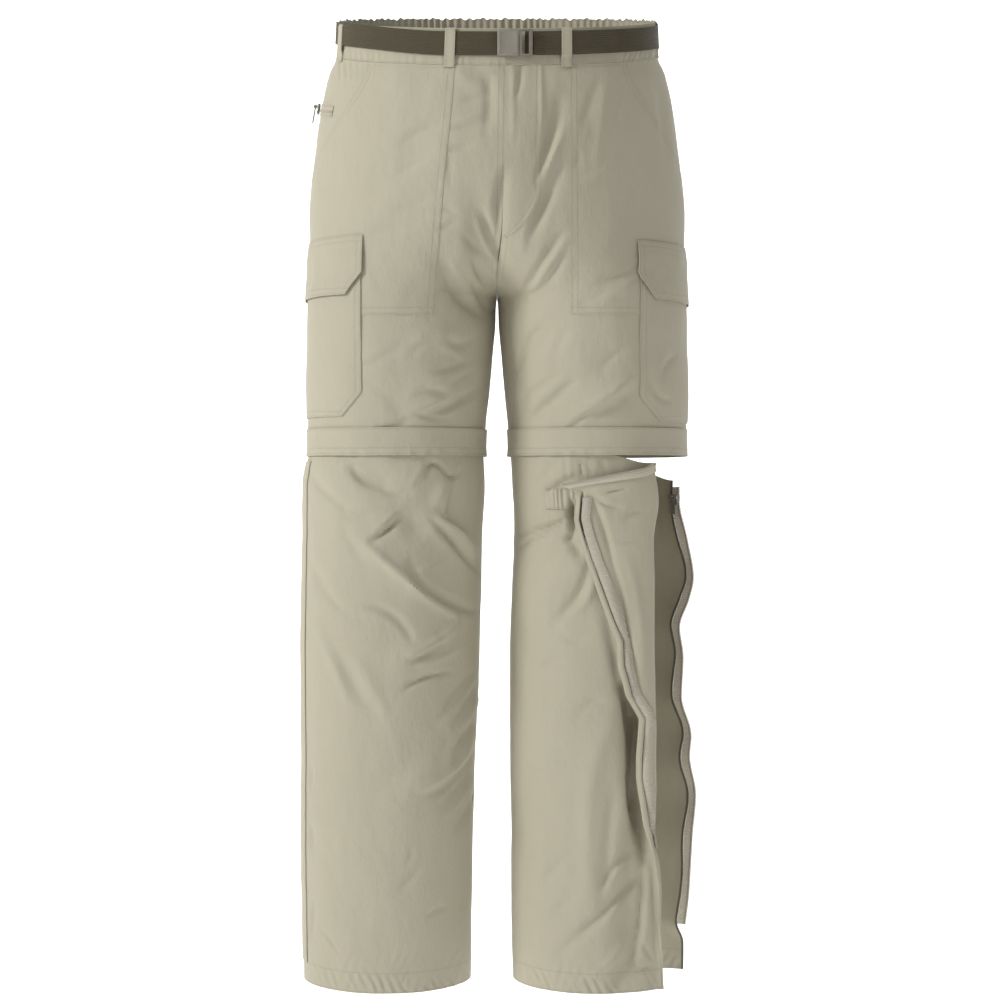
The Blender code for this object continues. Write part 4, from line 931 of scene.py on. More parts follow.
def webbing_finish():
    """Dark webbing with ribs along it."""
    made = Finish("webbing", (0.075, 0.06, 0.042), 0.85, sheen=0.2)
    uv = made.map()
    ribs, picks = made.wave(uv, "Y", 150.0), made.wave(uv, "X", 240.0, 0.5)
    patch = made.noise(made.where(), 60.0, 3.0)
    tone = (ribs * 0.3 + picks * 0.2 + patch * 0.6).sum("SUBTRACT", 0.12, clamp=True)
    tint = made.mix(tone, (0.046, 0.036, 0.018), (0.106, 0.087, 0.048))
    return made.done(tint, made.bump(ribs + picks * 0.35, 0.6, 0.0006), 0.75 + patch * 0.2)


def tape_finish(name, dark, light):
    made = Finish(name, light, 0.7, sheen=0.2)
    rib, patch = made.wave(made.map(), "Y", 120.0, 1.2), made.noise(made.where(), 45.0, 3.0)
    return made.done(made.mix(patch, dark, light), made.bump(rib, 0.6, 0.0006), 0.62 + patch * 0.2)


def plastic_finish(name, dark, light, roughness=0.42):
    made = Finish(name, light, roughness)
    where = made.where()
    patch, grain = made.noise(where, 120.0, 3.0), made.noise(where, 2600.0)
    tint = made.mix(patch, dark, light)
    return made.done(tint, made.bump(grain, 0.25, 0.0001), roughness - 0.06 + patch * 0.14)


def metal_finish(name, dark, light):
    made = Finish(name, light, 0.34, metallic=0.9)
    where = made.where()
    patch, scratch = made.noise(where, 260.0, 3.0), made.noise(made.upright(where, 0.08), 3000.0)
    return made.done(made.mix(patch, dark, light), made.bump(scratch, 0.2, 0.00008), 0.28 + patch * 0.2)


# The shorts

CLOSED = 0.04  # left between two panels sewn together
POCKET_STANDS, POCKET_CLOTH = 0.12, 0.42
FLY_FACES, PLACKET_FACES, HIP_TAPE_FACES = (0.1, 0.4), (0.4, 1.2), (0.15, 0.65)  # off what they lie on
KNEE_FLAP_CLOTH, TAB_CLOTH = 1.1, 0.9
POCKET_COLUMNS, FLY_COLUMNS, CARGO_COLUMNS = 70, 26, 52
TAB_COLUMNS, PLACKET_COLUMNS, HIP_TAPE_COLUMNS = 73, 12, 50
CARGO_SHELL, CROWN, FLAP_SHELL = 1.2, 0.9, 0.8
CARGO_OFF = 0.5  # a cargo pocket stands off its panel by this
FLAP_SPRINGS = 1.6  # the flap's lower edge stands out by this
GATHERED = 1.35  # the back waistband's flat length over its gathered one
KNEE_FLAP_LIFTS = (0.4, 0.5, 0.9, 1.6)  # off the panels, from its top to its lower edge


def grid_rows(top, end, step=STEP):
    return spread(top, end, max(3, int(round(abs(top - end) / step)) + 1))


def all_round(front, back):
    """Turns of a closed ring, with this many columns in front and behind."""
    return np.concatenate([spread(0, 1, front)[:-1], spread(-1, 0, back)[:-1]])


def keep_side(side, grids, seam_x):
    """Moves grids' points back to their own side of a seam."""
    for grid in grids:
        grid[..., 0] = side * np.maximum(side * grid[..., 0], side * seam_x + CLOSED / 2)


def make_upper_panels(finish):
    for word, side in SIDES:
        for part, sign, step, columns, _ in PARTS:
            rows = grid_rows(UPPER_START, SHORTS_END, step)
            turns = sign * spread(SEAM_TURN, 1, columns)
            points = creased(surface(side, UPPER, rows[:, None], turns), sign > 0, UPPER_CREASED)
            low, high = points - normals(points) * CLOTH, points.copy()
            keep_side(side, (low, high), front_seam(rows)[:, None] if sign > 0 else 0.0)
            inseam = rows <= CROTCH + 6
            seam_y = section(UPPER, rows[inseam])[1]
            low[inseam, -1, 1] = seam_y - sign * np.maximum(sign * (seam_y - low[inseam, -1, 1]), CLOSED / 2)
            shell(f"{part}_{word}_cloth", low, high, finish)


def on_front(side, rows, first, last, columns):
    """Points of the shorts' surface between two edges, given as turns at each row, with their creases."""
    share = spread(0, 1, columns)
    turns = np.asarray(first)[:, None] * (1 - share) + np.asarray(last)[:, None] * share
    return creased(surface(side, UPPER, rows[:, None], turns), turns >= 0, UPPER_CREASED), turns


def make_front_pockets(finish):
    rows = grid_rows(POCKET_TOP, POCKET_END, 3.0)
    for word, side in SIDES:
        inner = np.interp(rows, (POCKET_END, POCKET_TOP), POCKET_INNER[side][::-1])
        mouth = turn_at(side, rows, np.full(rows.shape, side * POCKET_MOUTH_TOP))
        slant = np.clip((POCKET_TOP - rows) / (POCKET_TOP - POCKET_MOUTH_END), 0, 1) ** 1.3
        outer = mouth * (1 - slant) + 0.03 * slant
        points = on_front(side, rows, outer, turn_at(side, rows, inner), POCKET_COLUMNS)[0]
        high = POCKET_STANDS + POCKET_CLOTH
        over(f"front_pocket_{word}_cloth", points, POCKET_STANDS, high, finish, rests=[f"front_{word}"])


def make_fly(finish):
    rows = grid_rows(UPPER_START, FLY_END, 4.0)
    edge = front_seam(rows) + 0.2
    foot = np.sqrt(np.clip((rows - FLY_END) / FLY_FOOT, 0.02, 1))
    first, last = (turn_at(LEFT, rows, x) for x in (edge + FLY_WIDTH * foot, edge))
    points = on_front(LEFT, rows, first, last, FLY_COLUMNS)[0]
    over("fly_cloth", points, *FLY_FACES, finish, rests=["front_left"])


def over_front_pocket(rows, turns):
    lift = POCKET_CLOTH + 0.3
    return lift * ease(-0.09, 0, turns) * ease(POCKET_END - 30, POCKET_END - 8, rows)[:, None]


def cargo_grid(side, rows, end, corner, wider=0.0):
    """A cargo pocket's or flap's place, with its lower corners cut."""
    high, wide = corner
    cut_in = np.clip((end + high - rows) / high, 0, 1) * wide
    front = turn_at(side, rows, side * (CARGO_FRONT[side] - wider + cut_in))
    back = turn_at(side, rows, side * (CARGO_BACK - wider + cut_in * CARGO_BACK_CUT), front=False)
    return on_front(side, rows, back, front, CARGO_COLUMNS)


def make_cargo(pocket_finish, flap_finish):
    for word, side in SIDES:
        top, end, flap_end = (level - CARGO_DROP[side] for level in (FLAP_TOP, CARGO_END, FLAP_END))
        panels = [f"front_{word}", f"back_{word}"]
        rows = grid_rows(CARGO_TOP, end, 3.0)
        points, turns = cargo_grid(side, rows, end, CARGO_CORNER)
        share = (turns - turns[:, :1]) / (turns[:, -1:] - turns[:, :1])
        arch = np.sin(math.pi * share)
        sag = 1.4 * arch * np.exp(-(((rows - end - 45) / 30) ** 2))[:, None]
        edge = ease(0, 0.05, share) * ease(0, 0.05, 1 - share) * ease(end, end + 5, rows)[:, None]
        lift = CARGO_OFF + CROWN * arch * ease(end, end + 90, rows)[:, None] + over_front_pocket(rows, turns)
        high = lift + 0.5 + (CARGO_SHELL - 0.5) * (0.3 + 0.7 * edge) + sag
        over(f"cargo_pocket_{word}_cloth", points, lift, high, pocket_finish, rests=panels)
        rows = grid_rows(top, flap_end, 2.0)
        points, turns = cargo_grid(side, rows, flap_end, FLAP_CORNER, FLAP_WIDER)
        rise = (CROWN + CARGO_SHELL + 0.3) * np.clip((top - rows) / (top - CARGO_TOP - 6), 0, 1)
        springs = FLAP_SPRINGS * ease(0, CARGO_TOP - flap_end, CARGO_TOP - rows)
        lift = CARGO_OFF + (rise + springs)[:, None] + over_front_pocket(rows, turns)
        over(f"cargo_flap_{word}_cloth", points, lift, lift + FLAP_SHELL, flap_finish, rests=panels)


def make_waistband_fronts(finish):
    rows = spread(WAIST_TOP, WAIST_SEAM, 20)
    for word, side in SIDES:
        points = surface(side, UPPER, rows[:, None], spread(WAISTBAND_SIDE, 1, 130))
        x = points[..., 0]
        ripple = 0.35 * np.cos(x / 1.6 + 0.9 * np.sin(x / 5)) * (0.6 + 0.4 * np.sin(x / 7.3 + 1))
        lift = (ripple + pucker_lift(points)) * ease(11, 17, -rows)[:, None]
        points += normals(points) * lift[..., None]
        low, high = points - normals(points) * CLOTH, points.copy()
        keep_side(side, (low, high), front_seam(rows)[:, None])
        shell(f"waistband_front_{word}_cloth", low, high, finish)


def make_waistband_back(finish):
    """The back of the waistband, gathered on its elastic."""
    rows = spread(WAIST_TOP, WAIST_SEAM, 16)
    half = np.concatenate([spread(WAISTBAND_SIDE - 2 * SEAM_TURN, 0.0, 50)[:-1], spread(0.0, -1.0, 330)])
    right = surface(RIGHT, UPPER, rows[:, None], half)
    left = surface(LEFT, UPPER, rows[:, None], half[::-1])
    points = np.concatenate([right, left[:, 1:]], axis=1)
    run = lengths(points, 1)[0]
    turn = math.tau * (run / run[-1])
    phase = turn * GATHERS + 1.1 * np.sin(turn * 3.3) + 0.7 * np.sin(turn * 8.1 + 1)
    wave = np.cos(phase) * (0.75 + 0.35 * np.sin(turn * 5.3 + 2))
    ends = ease(0, 0.02, turn / math.tau) * ease(0, 0.02, 1 - turn / math.tau)
    top = ease(0.0, 0.25, 1 - np.abs(spread(-1, 1, len(rows))))[:, None]
    lift = GATHER_DEPTH * (wave - 0.55) * ends * (0.5 + 0.5 * top)
    ruffle = 0.8 * np.sin(phase + 1) + 0.6 * np.sin(turn * 37) + 0.5 * np.sin(turn * 17 + 2)
    points[..., 2] += ruffle * ends * ease(-6, WAIST_TOP, rows)[:, None]
    over("waistband_back_cloth", points, lift - CLOTH, lift, finish, held="gathered", stretch=GATHERED)


# The belt

BELT_RISE = 4.5  # the belt rides up by this towards the wearer's right, ahead of the side seam
BUCKLE_RIM, BUCKLE_SUNK = 2.3, 0.5  # of the socket: width of its rim, and depth of its face inside it
BUCKLE_EDGE = 0.25  # worn off its edges
SAME_POINT, LEAST_FACE = 0.00001, 8e-6  # metres between points that are one; square metres of a main face


def at_front(side, x):
    """The turn of a place x on the front at level 0."""
    return float(turn_at(side, np.array(0.0), np.array(x)))


def make_belt(finish):
    rows = spread(BELT_HIGH, BELT_LOW, 8)[:, None]
    start, stop = at_front(RIGHT, BELT_ENDS[0]), at_front(LEFT, BELT_ENDS[1])
    right = surface(RIGHT, UPPER, rows, np.concatenate([spread(start, 0.0, 60), spread(0.0, -1.0, 60)[1:]]))
    left = surface(LEFT, UPPER, rows, np.concatenate([spread(-1.0, 0.0, 60)[1:-1], spread(0.0, stop, 55)]))
    whole = np.concatenate([right, left], axis=1)
    whole[..., 2] += BELT_RISE * ease(-60, -165, whole[..., 0]) * ease(40, -10, whole[..., 1])
    over("belt_webbing", whole, BELT_LIFT, BELT_LIFT + WEBBING, finish)
    rows = spread(BELT_HIGH - 0.4, BELT_LOW + 0.4, 8)[:, None]
    points = surface(LEFT, UPPER, rows, turn_at(LEFT, np.zeros(40), spread(TAIL_START, TAIL_END, 40)))
    over("belt_tail_webbing", points, TAIL_LIFT, TAIL_LIFT + WEBBING, finish, rests=["belt"])


def deselect():
    for item in list(bpy.context.selected_objects):
        item.select_set(False)


def make_buckle(plastic, shaded):
    """The buckle's two parts with their edges worn round, the socket with a sunk front face inside a rim."""
    for node, finish in (("buckle_socket", plastic), ("buckle_plug", shaded)):
        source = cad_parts[node]
        mesh = source.data.copy()
        mesh.transform(source.matrix_world)
        mesh.materials.clear()
        made = put_object(node + "_shape", mesh, finish)
        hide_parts(node)
        deselect()
        made.select_set(True)
        bpy.context.view_layer.objects.active = made
        bpy.ops.object.mode_set(mode="EDIT")
        bpy.ops.mesh.select_all(action="SELECT")
        bpy.ops.mesh.remove_doubles(threshold=SAME_POINT)
        if node == "buckle_socket":
            bpy.ops.mesh.dissolve_limited(angle_limit=math.radians(1))
        bpy.ops.mesh.normals_make_consistent(inside=False)
        bpy.ops.mesh.select_mode(type="FACE")
        bpy.ops.mesh.select_all(action="DESELECT")
        bpy.ops.object.mode_set(mode="OBJECT")
        if node == "buckle_socket":
            for face in mesh.polygons:
                face.select = face.normal.y < -0.9 and face.area > LEAST_FACE
            bpy.ops.object.mode_set(mode="EDIT")
            bpy.ops.mesh.inset(thickness=BUCKLE_RIM * MM, depth=-BUCKLE_SUNK * MM)
            bpy.ops.object.mode_set(mode="OBJECT")
        bevel = made.modifiers.new("worn edges", "BEVEL")
        bevel.width, bevel.segments = BUCKLE_EDGE * MM, 2
        bevel.limit_method, bevel.angle_limit = "ANGLE", math.radians(40)
        bpy.ops.object.modifier_apply(modifier=bevel.name)
        smooth(mesh, SHARP["buckle"])
        made.select_set(False)


def make_belt_loops(finish):
    over_belt, over_tail = TAIL_LIFT, TAIL_LIFT + WEBBING + SEAM
    places = (
        ("front_right", RIGHT, at_front(RIGHT, -50.0), over_belt),
        ("front_left", LEFT, at_front(LEFT, 74.0), over_tail),
        ("side_right", RIGHT, 0.19, over_belt), ("side_left", LEFT, -0.06, over_belt),
        ("back_right", RIGHT, -0.66, over_belt), ("back_left", LEFT, -0.6, over_belt),
        ("back_middle", LEFT, -0.93, over_belt),
    )
    knots = [WAIST_TOP - 0.2, WAIST_TOP - 1, BELT_HIGH + 0.8, BELT_LOW - 0.8, BELT_LOW - 4.5, LOOP_END]
    rows = grid_rows(knots[0], knots[-1], 1.6)
    for name, side, turn, rise in places:
        lift = np.interp(-rows, -np.array(knots), (LAID, LAID, rise, rise, LAID, LAID))[:, None]
        edges = surface(side, UPPER, np.zeros(2), np.array([turn - 0.01, turn + 0.01]))
        half = LOOP_WIDTH / 2 * 0.01 / (np.linalg.norm(edges[1] - edges[0]) / 2)
        points = surface(side, UPPER, rows[:, None], turn + half * spread(1, -1, 7))
        over(f"belt_loop_{name}_cloth", points, lift, lift + LOOP_CLOTH, finish, rests=["belt"])


# Knee flaps, knee zips and the closed leg


def make_knee_flaps(finish):
    rows = spread(KNEE_FLAP_TOP, KNEE_FLAP_END, 12)
    for word, side in SIDES:
        points = surface(side, UPPER, rows[:, None], all_round(110, 80))
        lift = np.interp(-rows, (442, 452, 462, 472), KNEE_FLAP_LIFTS)[:, None]
        x = points[..., 0]
        lift = lift + 0.5 * np.cos(x / 3.1 + 1.5 * np.sin(x / 13)) * ease(-462, -471, rows)[:, None]
        panels = [f"front_{word}", f"back_{word}"]
        over(f"knee_flap_{word}_cloth", points, lift, lift + KNEE_FLAP_CLOTH, finish, ring=True, rests=panels)


def make_knee_zips(finish):
    rows = spread(SHORTS_END - SEAM, LEG_TOP, 4)[:, None]
    over("knee_zip_right_tape", surface(RIGHT, UPPER, rows, all_round(50, 50)), -TAPE, 0.0, finish, ring=True)
    first, last = KNEE_ZIP_CLOSED
    turns = np.concatenate([spread(first, 1, 30)[:-1], spread(-1, last, 30)])
    over("knee_zip_left_tape", surface(LEFT, UPPER, rows, turns), -TAPE, 0.0, finish)


def make_closed_leg(finish, placket_finish):
    for part, sign, step, _, columns in PARTS:
        rows = grid_rows(LEG_START, HEM, step)
        turns = sign * spread(SEAM_TURN, 1, columns)
        points = creased(surface(RIGHT, LOWER_RIGHT, rows[:, None], turns), sign > 0)
        over(f"leg_{part}_right_cloth", points, -CLOTH, 0.0, finish)
    rows = grid_rows(KNEE_FLAP_END - 6, PLACKET_END)
    points = creased(surface(RIGHT, LOWER_RIGHT, rows[:, None], spread(*SIDE_PLACKET, PLACKET_COLUMNS)), True)
    panels = ["leg_front_right", "leg_back_right"]
    over("side_placket_right_cloth", points, *PLACKET_FACES, placket_finish, rests=panels)


# The open leg

OPEN_ARC, OPEN_TURN, OPEN_RUN = 70, 14, 44  # points on the leg, round the fold and turned back
OPEN_FOLD = OPEN_ARC + OPEN_TURN
# Small waves of the front's and the back's edges: level and height
WAVES_FRONT = (
    (-500, 1.6), (-545, -1.8), (-590, 1.6), (-634, -1.4), (-676, 1.8), (-716, -2.0), (-752, 2.2),
    (-790, -2.0), (-826, 2.0), (-866, -1.6), (-900, 1.2), (-940, -1.2), (-985, 1.2), (-1030, -0.8),
)
WAVES_BACK = (
    (-520, 1.4), (-556, -1.8), (-600, 2.0), (-640, -1.6), (-690, 1.8), (-735, -2.0), (-775, 1.6),
    (-820, -1.8), (-862, 1.6), (-905, -1.4), (-950, 1.4), (-1000, -1.0), (-1040, 0.8),
)
# x and y of the turned-back edge and of its top, on the photo's plane
LIP_EDGE = (
    (553, 484), (556, 490), (566, 495), (577, 501), (577, 510), (576, 524), (587, 560), (598, 589),
    (610, 623), (618, 642), (619, 666), (627, 696), (640, 719), (637, 757), (637, 778), (644, 825),
    (655, 858), (658, 900), (661, 940), (664, 990),
)
LAPEL_TOP = ((550, 487), (580, 481), (602, 477), (650, 467))
LIP_HEIGHT, LIP_WIDTH, GROOVE_DEPTH = 2.3, 5.6, 2.2  # the turned-back front's rolled edge and its groove
TAPE_FROM = 9.2  # where its tape starts, from the edge
BACK_TAPE = 8.0  # how much of the back edge's tape shows
KNEE_TAPE_AT = (1.0, 3.6, 6.3, 9.0)  # the undone knee tape's rows, down from the top edge


def waves(z, table):
    """The small waves that a sewn-on zip makes in an edge."""
    knots = np.array(table)[::-1]
    spots = np.interp(z, knots[:, 0], np.arange(len(knots)))
    low = np.clip(spots.astype(int), 0, len(knots) - 2)
    blend = ease(0, 1, spots - low)
    return knots[low, 1] * (1 - blend) + knots[low + 1, 1] * blend


def open_front_grid():
    rows = grid_rows(LEG_START, HEM)
    points = np.stack([lapel_path(level, OPEN_ARC, OPEN_TURN, OPEN_RUN) for level in rows])
    number = np.arange(points.shape[1])
    last = number[-1]
    points[..., 2] -= ease(-540, LEG_TOP, rows)[:, None] * (10.0 * ease(0.75, 1.0, number / (OPEN_ARC - 1)))
    points = creased(points, True, ease(OPEN_ARC + 2, OPEN_ARC - 8, number))
    x, y = seen_at(points)
    edge = np.array(LIP_EDGE)
    pull = np.interp(y[:, -1], edge[:, 1], edge[:, 0]) - x[:, -1]
    points[..., 0] += pull[:, None] * UNIT * ease(OPEN_FOLD - 4, last, number)
    x, y = seen_at(points[:1])
    drop = (y[0] - np.interp(x[0], *np.array(LAPEL_TOP).T)) * UNIT
    drop = drop * ease(OPEN_FOLD - 2, OPEN_FOLD + 4, number)
    points[..., 2] += ease(-560, LEG_TOP, rows)[:, None] * drop
    out = normals(points)
    wave = waves(points[:, -1, 2], WAVES_FRONT)[:, None] * ease(OPEN_FOLD + 4, last, number)
    points += out * wave[..., None]
    away = lengths(points[:, ::-1], 1)[:, ::-1]
    lip = LIP_HEIGHT * np.sin(math.pi * np.clip(away / LIP_WIDTH, 0, 1)) ** 0.8
    lip -= GROOVE_DEPTH * np.exp(-(((away - LIP_WIDTH - 1.4) / 1.5) ** 2))
    lip = lip * ease(-1000, -930, rows)[:, None] * ease(-474, -490, rows)[:, None]
    turned = ease(OPEN_FOLD - 2, OPEN_FOLD + 3, number)
    points -= out * ((lip + crease_lift(points, CREASES_LAPEL)) * turned)[..., None]
    return rows, points


def make_open_front(finish, tape, knee_tape):
    rows, points = open_front_grid()
    over("leg_front_left_cloth", points, -CLOTH, 0.0, finish)
    edge_rows = (rows < TAPES_START) & (rows > FRONT_TAPE_END)
    grid, out = points[edge_rows, ::-1], normals(points)[edge_rows, ::-1]
    run = lengths(grid, 1)
    fold = run[:, -(OPEN_ARC + OPEN_TURN // 2)]
    line = []
    for share in spread(0, 1, 7):
        want = TAPE_FROM + share * np.minimum(TAPE_WIDTH, np.maximum(fold - TAPE_FROM - 3, 1))
        spots, away = (
            np.array([at_length(*row) for row in zip(want, run, rows_of)]) for rows_of in (grid, out)
        )
        line.append(spots - away * (CLOTH + SEWN_LIFT + 0.9 * math.sin(math.pi * share)))
    strip = np.stack(line, axis=1)
    thick = -normals(strip)
    thick *= np.sign((thick * -out[:, 2:3]).sum(axis=-1, keepdims=True))
    node, rests = "side_zip_front_left", ["leg_front_left"]
    shell("side_zip_front_tape", strip, strip + thick * TAPE, tape, node, rests=rests)
    chain("side_zip_front_teeth", strip[:, 1] + thick[:, 1] * TAPE, thick[:, 1])
    columns = slice(OPEN_ARC + 2, points.shape[1])
    top, out = points[:, columns], -normals(points)[0, columns]
    down = lengths(top, 0)
    line = [[at_length(want, down[:, i], top[:, i]) for i in range(top.shape[1])] for want in KNEE_TAPE_AT]
    strip = np.array(line) + out * (CLOTH + SEWN_LIFT)
    shell("knee_zip_open_tape", strip, strip + out * TAPE, knee_tape, "knee_zip_open_left", rests=rests)
    chain("knee_zip_open_teeth", strip[0] + out * TAPE, out)


def make_open_back(finish, tape):
    rows = grid_rows(LEG_START, HEM)
    turns = -spread(BACK_STOPS, 1, 52)
    points = surface(LEFT, LOWER_LEFT, rows[:, None], turns)
    near = ease(-0.48, -BACK_STOPS, turns)
    points[..., 2] -= ease(-560, LEG_TOP, rows)[:, None] * BACK_DROP * near
    edge = points[:, 0]
    reach = read(BACK_EDGE, BACK_EDGE_COLUMNS, "reach", edge[:, 2])
    pull = reach - BACK_TAPE * ease(TAPE_END - 25, TAPE_END, edge[:, 2]) - edge[:, 0]
    points[..., 0] += pull[:, None] * near
    points = creased(points, False, ease(-0.3, -0.5, turns))
    wave = waves(points[:, 0, 2], WAVES_BACK)[:, None] * ease(-0.4, -BACK_STOPS, turns)
    points += normals(points) * wave[..., None]
    over("leg_back_left_cloth", points, -CLOTH, 0.0, finish)
    inside = (rows < TAPES_START + 12) & (rows > BACK_TAPE_END)
    edge = points[inside, 0] + [SEAM, -CLOTH / 2, 0]
    edge[:, 1] += 3.5 * ease(TAPES_START - 12, TAPES_START, rows[inside])
    far = edge.copy()
    far[:, 0] = read(BACK_EDGE, BACK_EDGE_COLUMNS, "reach", edge[:, 2])
    far[:, 1] -= TAPE_TURNS_IN
    share = spread(0, 1, 6)[None, :, None]
    strip = far[:, None] * (1 - share) + edge[:, None] * share
    over("side_zip_back_tape", strip, -TAPE / 2, TAPE / 2, tape, node="side_zip_back_left")
    out = normals(strip)[:, 1]
    line = strip[:, 0] * 0.85 + strip[:, 1] * 0.15
    chain("side_zip_back_teeth", line + out * TAPE / 2, out)
    chain("side_zip_back_teeth_inside", line - out * TAPE / 2, -out)


def make_hip_tape(finish):
    rows = spread(HIP_ZIP_LEVEL + HIP_ZIP_HEIGHT / 2, HIP_ZIP_LEVEL - HIP_ZIP_HEIGHT / 2, 8)
    points = surface(RIGHT, UPPER, rows[:, None], spread(*HIP_ZIP_TURNS, HIP_TAPE_COLUMNS))
    panels = ["front_right", "back_right"]
    over("hip_zip_tape_cloth", points, *HIP_TAPE_FACES, finish, slot="tape", rests=panels)
    out = normals(points)[len(rows) // 2]
    chain("hip_zip_teeth", points[len(rows) // 2] + out * 0.4, out)


def make_tab(finish):
    """The puckered end of the undone knee zip."""
    rows = np.interp(spread(0, len(TAB_ROWS) - 1, 16), np.arange(len(TAB_ROWS)), TAB_ROWS)[:, None]
    share = spread(0, 1, TAB_COLUMNS)
    levels, x = np.broadcast_arrays(rows, spread(*TAB_X, TAB_COLUMNS))
    turns = turn_at(LEFT, levels, x, LOWER_LEFT)[:, ::-1]
    points = creased(surface(LEFT, LOWER_LEFT, rows, turns), True)
    down, turn = spread(0, 1, len(rows))[:, None], math.tau * share
    ripple = 1.1 + 1.1 * np.cos(turn * 6.5 + 1.5 * np.sin(turn * 1.7) + 1.2 * down)
    lift = SEWN_LIFT + 0.3 + ripple * (0.7 + 0.3 * np.cos(turn * 1.3 + 2)) * (1 - 0.4 * down)
    node, rests = "knee_zip_tab_left", ["leg_front_left"]
    over("knee_zip_tab_cloth", points, lift, lift + TAB_CLOTH, finish, node=node, rests=rests)


# Zip teeth

TOOTH = 1.9  # from one tooth to the next
TOOTH_SIZE = (2.6, 1.2, 1.1)  # across the tape, along it and off it
TOOTH_EDGE, TOOTH_STANDS = 0.3, 0.5  # cut off its edges, and its middle's height above the tape
KEPT = {}  # the tooth's mesh and its material, made once


def tooth_mesh():
    """One coil turn of a zip: a small bar across the tape's edge."""
    deselect()
    bpy.ops.mesh.primitive_cube_add(size=1, location=(0, 0, 0))
    tooth = bpy.context.object
    tooth.scale = [size * MM for size in TOOTH_SIZE]
    bpy.ops.object.transform_apply(location=False, rotation=False, scale=True)
    bpy.ops.object.mode_set(mode="EDIT")
    bpy.ops.mesh.select_all(action="SELECT")
    bpy.ops.mesh.bevel(offset=TOOTH_EDGE * MM, segments=1)
    bpy.ops.object.mode_set(mode="OBJECT")
    mesh = tooth.data
    bpy.data.objects.remove(tooth)
    return mesh


def chain(name, line, out):
    """Teeth in a row along a line of points, standing on it, as one mesh."""
    tooth = KEPT["tooth"]
    corners = np.array([corner.co for corner in tooth.vertices])
    faces = [list(face.vertices) for face in tooth.polygons]
    gone = lengths(line, 0)
    spots = np.arange(TOOTH / 2, gone[-1], TOOTH)
    at, up = at_length(spots, gone, line), unit(at_length(spots, gone, out))
    along = unit(np.gradient(at, axis=0))
    across = unit(np.cross(along, up))
    up = np.cross(across, along)
    axes = np.stack([across, along, up], axis=1)
    points = (corners[None] @ axes + at[:, None] * MM + up[:, None] * TOOTH_STANDS * MM).reshape(-1, 3)
    whole = [[index + len(corners) * i for index in face] for i in range(len(spots)) for face in faces]
    mesh = bpy.data.meshes.new(name)
    mesh.from_pydata(points.tolist(), [], whole)
    smooth(mesh, SHARP["tooth"])
    put_object(name, mesh, KEPT["coil"])


def dress_zips():
    """The sliders and their pulls keep their solids and get worn metal."""
    metal = metal_finish("zip_metal_worn", (0.22, 0.21, 0.20), (0.50, 0.48, 0.45))
    for name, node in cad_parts.items():
        if name.endswith(("_slider", "_pull")):
            for slot in node.material_slots:
                slot.material = metal


# The stage: a pale floor that curves up behind, soft lights and the camera

FLOOR, CURVE, CURVE_FROM = -1.32, 1.4, 1.6  # metres: its height, the curve's radius and where that starts
MIDDLE = (0, 0, -0.5)
LIGHTS = (
    ("key", (-2.75, -1.3, 0.9), MIDDLE, 0.9, 62),
    ("fill", (2.4, -2.6, -0.2), MIDDLE, 2.4, 6),
    ("top", (0.0, -0.9, 2.4), MIDDLE, 1.6, 14),
    ("backdrop_light", (0.0, 1.3, 1.4), (0, 3.0, 0.4), 2.5, 60),
)  # name, place, what it points at, size in metres and watts
WORLD_LIGHT = 0.31
SENSOR = 36.0


def make_floor():
    turns = [math.pi / 2 * i / 12 for i in range(1, 13)]
    curve = [(CURVE_FROM + CURVE * math.sin(turn), FLOOR + CURVE * (1 - math.cos(turn))) for turn in turns]
    profile = [(-3.4, FLOOR), (CURVE_FROM, FLOOR), *curve, (CURVE_FROM + CURVE, 4.0)]
    points = [(x, y, z) for y, z in profile for x in (-5, 5)]
    faces = [(2 * i, 2 * i + 1, 2 * i + 3, 2 * i + 2) for i in range(len(profile) - 1)]
    mesh = bpy.data.meshes.new("floor")
    mesh.from_pydata(points, [], faces)
    mesh.shade_smooth()
    pale = Finish("floor_pale", (0.9, 0.9, 0.9), 0.9)
    pale.feed({"Emission Color": (1, 1, 1, 1), "Emission Strength": 0.4})
    mesh.materials.append(pale.material)
    added("floor", mesh)


def direction_to(place, target):
    gap = np.array(target) - np.array(place)
    flat = math.hypot(gap[0], gap[1])
    return (math.atan2(flat, -gap[2]), 0, math.atan2(gap[1], gap[0]) - math.pi / 2)


def make_stage():
    make_floor()
    scene = bpy.context.scene
    scene.world = bpy.data.worlds.new("studio")
    scene.world.use_nodes = True
    colour, strength = scene.world.node_tree.nodes["Background"].inputs[:2]
    colour.default_value, strength.default_value = (1, 1, 1, 1), WORLD_LIGHT
    scene.view_settings.view_transform = "Standard"
    for name, place, target, size, power in LIGHTS:
        data = bpy.data.lights.new(name, "AREA")
        data.size, data.energy = size, power
        lamp = added(name, data)
        lamp.location, lamp.rotation_euler = place, direction_to(place, target)
    data = bpy.data.cameras.new("camera")
    data.sensor_width, data.lens = SENSOR, SENSOR * -CAMERA[1] / (2 * HALF_PICTURE * UNIT)
    scene.camera = added("camera", data)
    scene.camera.location = [size * MM for size in CAMERA]
    scene.camera.rotation_euler = (math.pi / 2, 0, 0)


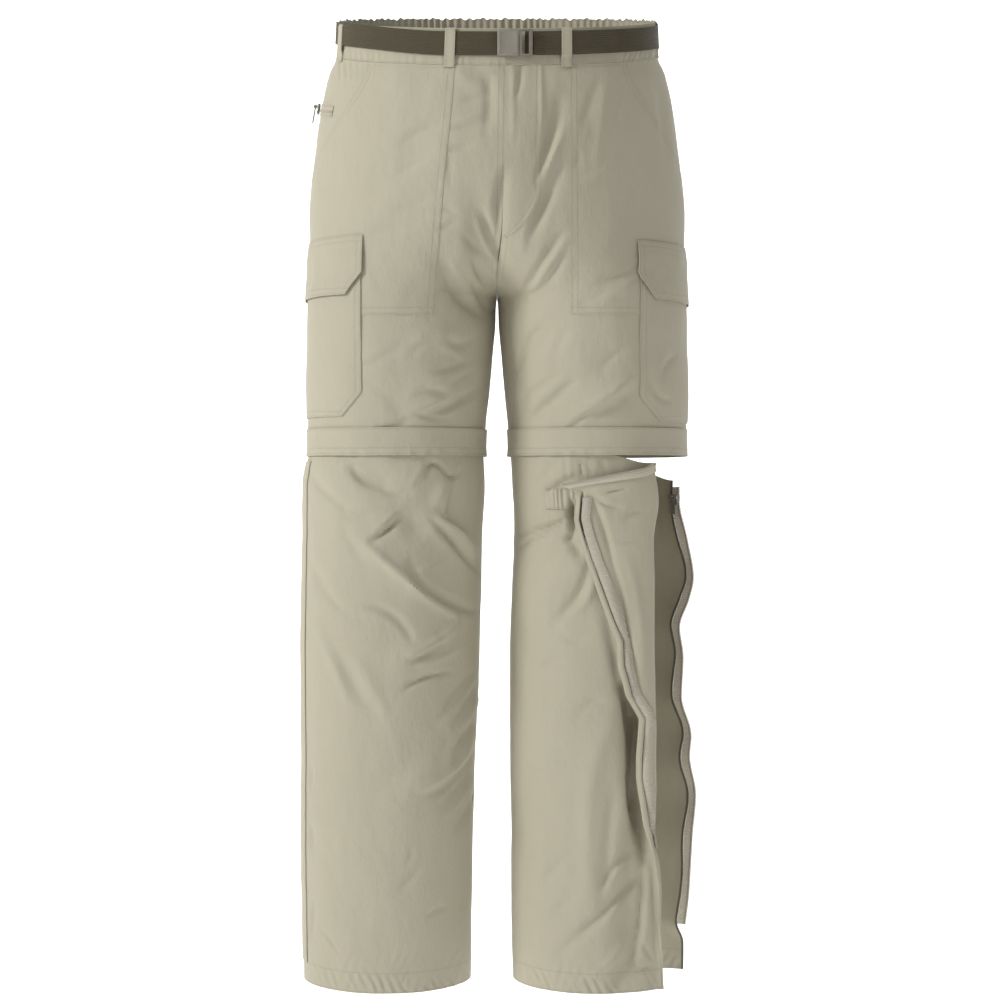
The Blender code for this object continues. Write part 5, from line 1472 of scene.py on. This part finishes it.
def main():
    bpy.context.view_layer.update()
    plain = cloth_finish("cloth_plain", left=ROW, right=TWO_ROWS)
    pocket = cloth_finish("cloth_pocket", left=WIDE_ROWS, right=(0.0015, 0.0075), bottom=(0.0015, 0.0075))
    fly = cloth_finish("cloth_fly", left=TWO_ROWS, bottom=(0.002,))
    cargo = cloth_finish("cloth_cargo", left=ROW, right=TWO_ROWS, bottom=TWO_ROWS)
    flap = cloth_finish("cloth_flap", left=TWO_ROWS, right=TWO_ROWS, top=TWO_ROWS, bottom=WIDE_ROWS)
    band = cloth_finish("cloth_waistband", top=ROW, bottom=ROW)
    loop = cloth_finish("cloth_loop", left=(0.0018,), right=(0.0018,))
    knee = cloth_finish("cloth_knee_flap", top=ROW, bottom=WIDE_ROWS)
    hemmed = {"bottom": HEM_ROWS, "right": (0.002,)}
    leg = cloth_finish("cloth_leg", **hemmed, puckers=0.034)
    open_leg = cloth_finish("cloth_open_leg", **hemmed, painted_groove_shade=LAPEL_GROOVE, puckers=0.03)
    back_leg = cloth_finish("cloth_open_back", bottom=HEM_ROWS, painted_edge_shade=0.0035, puckers=0.03)
    tab = cloth_finish("cloth_tab", top=ROW, bottom=ROW)
    tape = tape_finish("zip_tape", (0.43, 0.39, 0.31), (0.50, 0.455, 0.37))
    # The back edge's tape gets a lighter copy of the tape: painted light, where the leg keeps the lamps off
    # it
    lit_tape = tape_finish("zip_tape_painted_light", (0.66, 0.61, 0.50), (0.74, 0.69, 0.57))
    knee_tape = tape_finish("knee_zip_tape", (0.53, 0.49, 0.385), (0.60, 0.56, 0.45))
    KEPT["coil"] = plastic_finish("zip_coil", (0.40, 0.36, 0.29), (0.50, 0.455, 0.375), 0.5)
    KEPT["tooth"] = tooth_mesh()
    make_upper_panels(plain)
    make_front_pockets(pocket)
    make_fly(fly)
    make_cargo(cargo, flap)
    make_waistband_fronts(band)
    make_waistband_back(band)
    make_belt(webbing_finish())
    make_belt_loops(loop)
    make_knee_flaps(knee)
    make_knee_zips(tape)
    make_closed_leg(leg, loop)
    make_open_front(open_leg, tape, knee_tape)
    make_open_back(back_leg, lit_tape)
    make_tab(tab)
    make_hip_tape(tab)
    # The plug gets a darker copy of the buckle's plastic: painted shade
    make_buckle(
        plastic_finish("buckle_plastic_worn", (0.235, 0.215, 0.175), (0.30, 0.275, 0.23)),
        plastic_finish("buckle_plastic_painted_shade", (0.17, 0.15, 0.12), (0.24, 0.215, 0.18)),
    )
    dress_zips()
    make_stage()


main()
